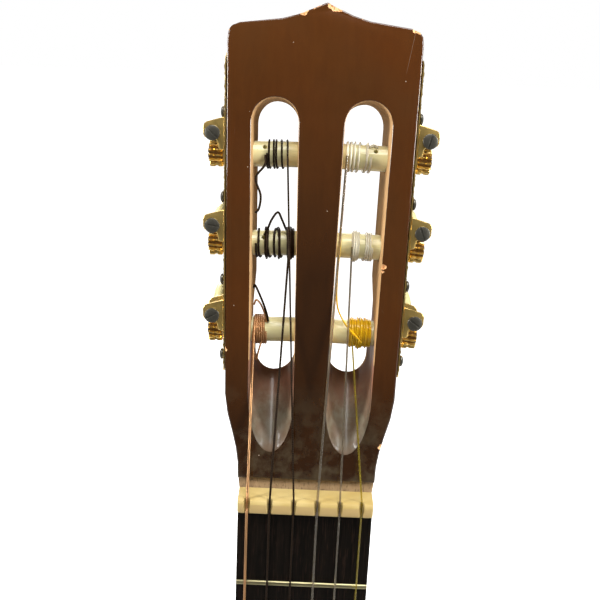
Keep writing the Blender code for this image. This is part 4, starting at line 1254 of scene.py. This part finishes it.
# %% Windings
WINDINGS = {
    4: [-4.85, -2.6, -0.4, 0.5, 2.4, 3.1],
    5: [-6.1, -7.0, -7.7, -6.6, -5.5, -2.3, -0.1, -2.2, 2.4, 3.3, 2.9, 6.0, 7.0],
    6: [7.2, 6.3, 5.4, 4.5, 3.6, 2.8],
    3: [-7.1, -5.7, -4.3, -2.6, 0.6, 2.2],
    2: [-2.5, -1.7, -0.9, -0.1, -1.3, -2.1, -0.5, 2.9, 3.7, 4.6, 5.4],
    1: [-0.3, -1.1, -0.4, 0.3, 1.0, 1.7, 2.4, 3.1, 3.8, 4.5, 5.2, 5.9, 6.6, 7.2,
        5.4, 3.6, 1.8, 3.4, 2.6],
}
WINDING_BED, LAYER_RISE = 5.06, 1.7
LAYERS = {5: [0, 0, 0, 1, 1, 0, 0, 1, 0, 0, 1, 0, 0], 2: [0, 0, 0, 0, 1, 1, 0, 0, 0, 0, 0],
          1: [0, 0, 1, 0, 0, 0, 0, 0, 0, 0, 0, 0, 0, 0, 1, 1, 1, 1, 2]}


def winding_points(number, detail=26):
    outs, radius = WINDINGS[number], STRING_RADIUS[number]
    layers = LAYERS.get(number, [0] * len(outs))
    points = []
    for turn in range(len(outs) - 1):
        last = turn == len(outs) - 2
        for k in range(detail + last):
            t = k / detail
            ease = t * t * (3 - 2 * t)
            out = outs[turn] + (outs[turn + 1] - outs[turn]) * ease
            layer = layers[turn] + (layers[turn + 1] - layers[turn]) * ease
            lift = max(0.0, 0.25 - 2.5 * t) if turn == 0 else 0.0
            reach = WINDING_BED + radius + lift + LAYER_RISE * radius * layer
            angle = 2 * math.pi * t
            points.append(Vector((out, ROLLER_DEPTH - reach * math.cos(angle),
                                  reach * math.sin(angle))))
    return points


for number in STRINGS:
    coil = sweep("string_winding_%d" % number, winding_points(number),
                 STRING_RADIUS[number], 8)
    settle(coil, beside(number), "post_%d" % number, STRING_SLOT[number], None,
           STRING_FINISH[number], smooth=60.0)
print("windings wound")

# %% [markdown]
# Loose ends stick out where the strings were cut. They are stiff, so they keep their kinks
# in the air: a long yellow one bends up inside the right slot, and dark ones curl on the
# left. Each is a smooth curve through a few places on the head.

# %% String ends
ENDS = {
    "end_4": (4, "post_4", [(-21.1, 134.2, -5.2), (-21.3, 130.3, -4.8), (-24.6, 125.3, -4.6),
                            (-22.5, 118.9, -4.6), (-22.95, 113.8, -5.0),
                            (-24.3, 111.9, -5.4)]),
    "end_5": (4, "post_5", [(-20.6, 103.5, -6.0), (-19.2, 106.2, -4.8), (-17.7, 109.8, -4.4),
                            (-15.5, 112.5, -4.6), (-13.8, 109.6, -5.0),
                            (-12.2, 106.0, -6.2)]),
    "end_6a": (4, "post_6", [(-17.9, 69.0, -6.2), (-18.4, 71.8, -5.0), (-19.7, 75.7, -4.4),
                             (-21.8, 80.4, -4.4), (-23.5, 83.5, -4.8),
                             (-24.1, 82.4, -5.6)]),
    "end_6b": (6, "post_6", [(-18.6, 68.8, -6.2), (-19.6, 72.9, -5.2), (-21.3, 76.4, -4.8),
                             (-22.9, 77.6, -5.0), (-23.7, 75.6, -5.6)]),
    "end_6c": (6, "post_6", [(-19.6, 62.0, -6.4), (-20.4, 60.3, -5.6), (-21.4, 56.6, -5.0),
                             (-22.1, 53.4, -5.2), (-23.0, 56.5, -5.8)]),
    "end_3": (3, "post_3", [(18.8, 138.8, -6.6), (20.6, 139.6, -6.9), (22.4, 138.6, -6.7)]),
}
TAIL_WIDTH = {6: 0.7, 4: 1.2, 3: 1.0}
LONG_END = [(19.6, 62.3, -3.6), (17.8, 64.4, -3.2), (15.3, 66.75, -3.5),
            (13.2, 69.1, -4.0), (11.4, 71.8, -4.3), (9.6, 75.8, -4.6), (8.95, 81.0, -5.0),
            (8.9, 86.0, -5.3), (8.95, 91.0, -5.4), (9.2, 96.0, -5.0), (9.3, 102.7, -3.4),
            (9.2, 107.4, -2.4)]


def from_face(points):
    """Head places (across, up, height over the face) as drawing places."""
    return [Vector((u, -w, v)) for u, v, w in points]


def loose_end(name, points, radius, body, number):
    """Stiff end of a string that stands free."""
    path = smooth_path(from_face(points), 40)
    wire = sweep(name, path, radius, 8)
    settle(wire, HEAD, body, STRING_SLOT[number], None, STRING_FINISH[number], smooth=60.0)


for name, (number, body, points) in ENDS.items():
    loose_end("string_" + name, points, STRING_RADIUS[number] * TAIL_WIDTH[number], body,
              number)
loose_end("string_end_1", LONG_END, STRING_RADIUS[1], "guitar", 1)

# %% [markdown]
# The body's outline is one smooth curve: upper bout, waist and lower bout. Four short
# curves give one half, and the other half mirrors it. Every body piece follows this line,
# moved inwards by its own margin.

# %% Body outline
CURVES = [((0, 0), (85, 0), (140, 33), (140, 95)),
          ((140, 95), (140, 130), (117.5, 155), (117.5, 192)),
          ((117.5, 192), (117.5, 240), (185, 295), (185, 372)),
          ((185, 372), (185, 450), (95, 490), (0, 490))]


def half_outline(inset, steps=22):
    """(x, z) down the treble side, from the neck to the tail."""
    path = []
    for a, b, c, d in CURVES:
        for i in range(steps):
            t, u = i / steps, 1 - i / steps
            path.append([u ** 3 * a[k] + 3 * u * u * t * b[k] + 3 * u * t * t * c[k]
                         + t ** 3 * d[k] for k in (0, 1)])
    path.append([0.0, BODY_LENGTH])
    ends = [[-path[1][0], path[1][1]]] + path + [[-path[-2][0], path[-2][1]]]
    inner = []
    for before, here, after in zip(ends, ends[1:], ends[2:]):
        way = Vector((after[0] - before[0], after[1] - before[1])).normalized()
        inner.append((here[0] - way.y * inset, BODY_END - here[1] - way.x * inset))
    return inner


def full_outline(inset):
    half = half_outline(inset)
    return half + [(-x, z) for x, z in reversed(half[1:-1])]


def back_y(z):
    return 94.0 + 6.0 * (BODY_END - z) / BODY_LENGTH


print("outline points:", len(full_outline(0.0)))

# %% [markdown]
# The soundboard is a thin plate of pale spruce with straight, even grain, under an amber
# gloss. Round the sound hole lies a rosette of tiny coloured wood blocks between dark and
# light rings. Its pattern is worked out from the distance and the angle round the hole.

# %% Soundboard and rosette finishes
def spruce(name, light, dark):
    mat, tree, shader = finish(name, Coat_Weight=0.6, Coat_Roughness=0.06)
    where = place_in(tree)
    drift = node(tree, "ShaderNodeTexNoise", {"Vector": where, "Scale": 3.0, "Detail": 1.0})
    wander = times(tree, drift.outputs["Fac"], 0.012)
    across = math_node(tree, "ADD", axes(tree, where)["X"], wander)
    lines = ramp(tree, wave(tree, across, 3600.0), [(0.35, 0.0), (0.95, 1.0)])
    grain = placed(tree, GRAIN, Stretch=(120.0, 120.0, 3.0))
    base = blend(tree, grain["Figure"], dark, light)
    tone = blend(tree, times(tree, lines, 0.55), base, darker(dark, 0.55))
    wear = placed(tree, WEAR, Speck_Scale=60.0, Scratch_Scale=18.0)
    tree.links.new(blend(tree, wear["Scratches"], tone, (0.75, 0.55, 0.3)),
                   shader.inputs["Base Color"])
    shader.inputs["Roughness"].default_value = 0.35
    bump(tree, shader, lines, 0.03)
    return mat


def mosaic(name):
    """Rings by distance from the sound hole, with a small checked pattern between."""
    mat, tree, shader = finish(name, Coat_Weight=0.2, Coat_Roughness=0.1)
    hole = node(tree, "ShaderNodeMapping", {"Vector": place_in(tree),
                                            "Location": (0.0, 0.0, -HOLE_Z * MM)})
    parts = axes(tree, hole.outputs[0])
    flat = node(tree, "ShaderNodeCombineXYZ", {"X": parts["X"], "Y": parts["Z"]})
    away = node(tree, "ShaderNodeVectorMath", {0: flat.outputs[0]}, operation="LENGTH")
    place = rising(tree, away.outputs["Value"], 0.046, 0.058)
    turn = math_node(tree, "ARCTAN2", parts["X"], parts["Z"])
    spokes = math_node(tree, "SINE", times(tree, turn, 64.0), 0.0)
    waves = math_node(tree, "SINE", times(tree, place, 28.0), 0.0)
    checks = ramp(tree, times(tree, spokes, waves),
                  [(0.0, (0.03, 0.008, 0.004)), (0.25, (0.2, 0.045, 0.012)),
                   (0.5, (0.45, 0.24, 0.08))])
    dark, pale = (0.01, 0.005, 0.004), (0.5, 0.32, 0.14)
    rings = node(tree, "ShaderNodeValToRGB", {"Fac": place})
    rings.color_ramp.interpolation = "CONSTANT"
    stops = [(0.0, dark), (0.05, pale), (0.1, dark), (0.15, (0.3, 0.05, 0.02)), (0.2, dark),
             (0.8, pale), (0.85, dark), (0.9, pale), (0.95, dark)]
    while len(rings.color_ramp.elements) < len(stops):
        rings.color_ramp.elements.new(0.5)
    for element, (at, colour) in zip(rings.color_ramp.elements, stops):
        element.position, element.color = at, (*colour, 1.0)
    band = node(tree, "ShaderNodeMath", {0: place, 1: 0.5, 2: 0.28},
                operation="COMPARE")
    tree.links.new(blend(tree, band.outputs[0], rings.outputs["Color"], checks),
                   shader.inputs["Base Color"])
    shader.inputs["Roughness"].default_value = 0.3
    return mat


SPRUCE = spruce("spruce_top", (0.62, 0.33, 0.11), (0.5, 0.24, 0.07))
MOSAIC = mosaic("rosette_mosaic")
ROSEWOOD = plain_wood("rosewood", (0.085, 0.026, 0.011), (0.022, 0.008, 0.005), 0.35,
                      stretch=(90.0, 90.0, 5.0), varnish=0.5, shine=0.5)
BRIDGE_WOOD = plain_wood("bridge_rosewood", (0.075, 0.028, 0.014), (0.025, 0.01, 0.006), 0.5,
                         stretch=(5.0, 240.0, 240.0))
NECK_WOOD = lacquer("neck_lacquer", (0.07, 0.0215, 0.0026), (0.05, 0.0155, 0.002), 0.0, 0.36,
                    (0.25, 0.3))
PALE_WOOD = plain_wood("pale_inner_wood", (0.6, 0.38, 0.19), (0.48, 0.28, 0.13), 0.65)
PURFLE = plain_wood("light_purfling", (0.62, 0.45, 0.24), (0.5, 0.34, 0.17), 0.4,
                    varnish=0.4)
print("body finishes ready")

# %% Soundboard and rosette
def ring_piece(name, inner, outer, y0, y1, steps=96, soft=0.1):
    """Flat ring round the sound hole, closed on itself."""
    section = [(inner, y1), (inner, y0 + soft), (inner + soft, y0), (outer - soft, y0),
               (outer, y0 + soft), (outer, y1)]
    rings = []
    for k in range(steps + 1):
        a = 2 * math.pi * k / steps
        rings.append([Vector((r * math.cos(a), y, HOLE_Z + r * math.sin(a)))
                      for r, y in section])
    return skin(name, rings, ends=False)


top = cut_out("spruce_top", full_outline(2.15), 0.0, (0.0, 2.5, 0.0))
hole_rim = [(HOLE_RADIUS * math.cos(a), HOLE_Z + HOLE_RADIUS * math.sin(a))
            for a in circle_angles(96)]
cut(top, cut_out("hole_tool", hole_rim, -3.0, (0.0, 9.0, 0.0)))
groove = ring_piece("groove_tool", 45.9, 58.1, -1.0, 0.95, soft=0.02)
cut(top, groove)
settle(top, HERE, "guitar", "soundboard_wood", "soundboard", SPRUCE)
inlay = ring_piece("inlaid_rosette", 45.95, 58.05, 0.0, 0.93)
settle(inlay, HERE, "guitar", "rosette_mosaic", "rosette", MOSAIC)
print("soundboard faces:", len(top.data.polygons))

# %% [markdown]
# The sides are two bent strips of rosewood that meet at the heel and at the tail. Bindings
# of the same wood guard both edges all round, with a thin pale line inside. The back is one
# flat plate, a little deeper at the tail than at the neck.

# %% Sides, back and bindings
def strip_piece(name, side, section, inner_limit=0.15):
    """Strip down one side; section gives (inset, height above or below) corners."""
    paths = {inset: half_outline(inset) for inset in {i for i, _ in section}}
    count = len(next(iter(paths.values())))
    rings = []
    for i in range(count):
        ring = []
        for inset, height in section:
            x, z = paths[inset][i]
            ring.append(Vector((side * max(x, inner_limit), height(z), z)))
        rings.append(ring)
    return skin(name, rings)


for side, label in ((-1, "bass"), (1, "treble")):
    rib = strip_piece("rosewood_side_" + label, side,
                      [(0.05, lambda z: 4.0), (2.2, lambda z: 4.0),
                       (2.2, lambda z: back_y(z) - 4.0), (0.05, lambda z: back_y(z) - 4.0)])
    settle(rib, HERE, "guitar", "rosewood", "side_" + label, ROSEWOOD)


def edge_strip(name, inset, width, at_back, depth, proud=0.0):
    """Binding or purfling all round one face, rounded at its outer corner."""
    rings = []
    outer, mid, inner = (full_outline(i) for i in (inset, inset + 0.5, inset + width))
    for (xo, zo), (xm, zm), (xi, zi) in zip(outer, mid, inner):
        ring = []
        for x, z, d in ((xo, zo, depth), (xo, zo, 0.5), (xm, zm, -proud), (xi, zi, -proud),
                        (xi, zi, depth)):
            ring.append(Vector((x, back_y(z) - d if at_back else d, z)))
        rings.append(ring)
    return skin(name, rings + rings[:1], ends=False)


for at_back, label in ((False, "top"), (True, "back")):
    guard = edge_strip(label + "_edge_guard", 0.0, 2.2, at_back, 4.05)
    settle(guard, HERE, "guitar", "rosewood", label + "_binding", ROSEWOOD, smooth=50.0)
    line = edge_strip(label + "_pale_line", 2.2, 1.0, at_back, 0.6, 0.02)
    settle(line, HERE, "guitar", "rosewood", label + "_binding", PURFLE, smooth=50.0)

back = cut_out("rosewood_back", full_outline(2.15), 0.0, (0.0, -2.5, 0.0))
for vert in back.data.vertices:
    vert.co.y += back_y(vert.co.z)
settle(back, HERE, "guitar", "rosewood", "back_plate", ROSEWOOD)
print("sides, bindings and back made")

# %% [markdown]
# The bridge is a rosewood bar with thin wings. A rail in its middle holds the bone saddle,
# and the block behind it has a hole for each string. It is cut out in side view, and its
# sharp edges are bevelled, as sandpaper would leave them.

# %% Bridge and saddle
def side_cut(name, outline, x0, x1):
    """Piece cut out in side view (z, y) and drawn out across the guitar."""
    piece = cut_out(name, outline, 0.0, (0.0, x1 - x0, 0.0))
    piece.data.transform(Matrix.Translation((x0, 0.0, 0.0)) @ SIDE_VIEW)
    return piece


wings = skin("bridge_wood", [[Vector((x, y, z)) for z, y in
                              ((-643.5, -0.02), (-643.5, -0.9 * k), (-645.5, -3.3 * k),
                               (-670.5, -3.3 * k), (-672.5, -0.9 * k), (-672.5, -0.02))]
                             for x, k in ((-93.0, 0.55), (-92.0, 0.8), (-88.0, 0.95),
                                          (-70.0, 1.0), (70.0, 1.0), (88.0, 0.95),
                                          (92.0, 0.8), (93.0, 0.55))])
side_view = [(-644.0, -0.5), (-644.0, -3.6), (-646.0, -7.4), (-646.6, -8.0), (-649.7, -8.4),
             (-649.7, -3.8), (-653.3, -3.8), (-653.3, -8.4), (-654.0, -8.3), (-656.0, -6.0),
             (-657.5, -4.2), (-659.0, -4.0), (-659.0, -8.5), (-671.5, -8.5), (-672.0, -7.9),
             (-672.0, -0.5)]
cut(wings, side_cut("bridge_block", side_view, -41.0, 41.0), "UNION")
for number in STRINGS:
    drill = round_tool("tie_drill", 0.9, -674.0, 16.5,
                       Matrix.Translation((BRIDGE_X[number], -6.0, 0.0))
                       @ Matrix.Rotation(-math.pi / 2, 4, "Y"), "Y", 16)
    cut(wings, drill)
bevel(wings, 0.3, 2, 35.0)
settle(wings, HERE, "guitar", "rosewood", "bridge", BRIDGE_WOOD)
strips = []
for z in (-660.3, -670.2):
    strip = side_cut("tie_strip", [(z - 0.7, -8.3), (z - 0.7, -8.62), (z + 0.7, -8.62),
                                   (z + 0.7, -8.3)], -40.9, 40.9)
    bevel(strip, 0.08, 2)
    strips.append(strip)
trim = join(strips, "tie_block_strips")
settle(trim, HERE, "guitar", "bone", "bridge", BONE)
bone_bar = side_cut("bone_saddle", [(-650.05, -4.0), (-650.05, -11.3), (-650.5, -11.9),
                                    (-651.4, -12.06), (-652.2, -11.8), (-652.95, -11.0),
                                    (-652.95, -4.0)], -40.0, 40.0)
bevel(bone_bar, 0.3, 3, 25.0)
settle(bone_bar, HERE, "guitar", "bone", "saddle", BONE)
print("bridge faces:", len(wings.data.polygons))

# %% [markdown]
# The neck's shaft has a D section that grows a little towards the body. The heel sweeps
# down from it to the back in one smooth curve, and the two are one piece of wood.

# %% Neck and heel
HEEL_ROWS = [(9.0, 26.0, 62.0), (16.0, 28.5, 50.0), (22.0, 26.0, 39.0), (30.0, 22.0, 29.5),
             (42.0, 18.0, 21.5), (58.0, 14.8, 16.5), (76.0, 12.8, 13.5), (90.6, 12.0, 12.4)]


def heel_ring(row, steps=40):
    """Half-round section of the heel at one depth, against the body's end."""
    depth, half, reach = row
    return [Vector((half * math.cos(math.pi * i / steps), depth,
                    BODY_END - 0.02 + reach * math.sin(math.pi * i / steps)))
            for i in range(steps + 1)]


neck = skin("neck_shaft", [d_ring(board_half(z), 15.5 + 2.0 * z / BODY_END, 2.4, 0.02, z, 0.0,
                                  48) for z in (-0.05, -80.0, -160.0, -240.0, -324.95)])
cut(neck, skin("neck_heel", [heel_ring(row) for row in smooth_path(HEEL_ROWS, 40)]), "UNION")
settle(neck, HERE, "guitar", "lacquered_wood", "neck", NECK_WOOD, smooth=60.0)
print("neck faces:", len(neck.data.polygons))

# %% [markdown]
# The heel cap, the wedge at the tail and the parts inside the box keep their own solids.
# Each only gets its proper finish.

# %% Finishes on the remaining solids
KEPT = {"heel_cap": ROSEWOOD, "end_graft": BRIDGE_WOOD}
for name in ("top_lining_bass", "top_lining_treble", "back_lining_bass",
             "back_lining_treble", "neck_block", "tail_block", "upper_harmonic_bar",
             "lower_harmonic_bar", "fan_bracing", "back_brace_upper", "back_brace_waist",
             "back_brace_lower"):
    KEPT[name] = PALE_WOOD
for name, paint in KEPT.items():
    solid = bpy.data.objects[name]
    for slot in solid.material_slots:
        slot.material = paint
print("kept solids:", len(KEPT))
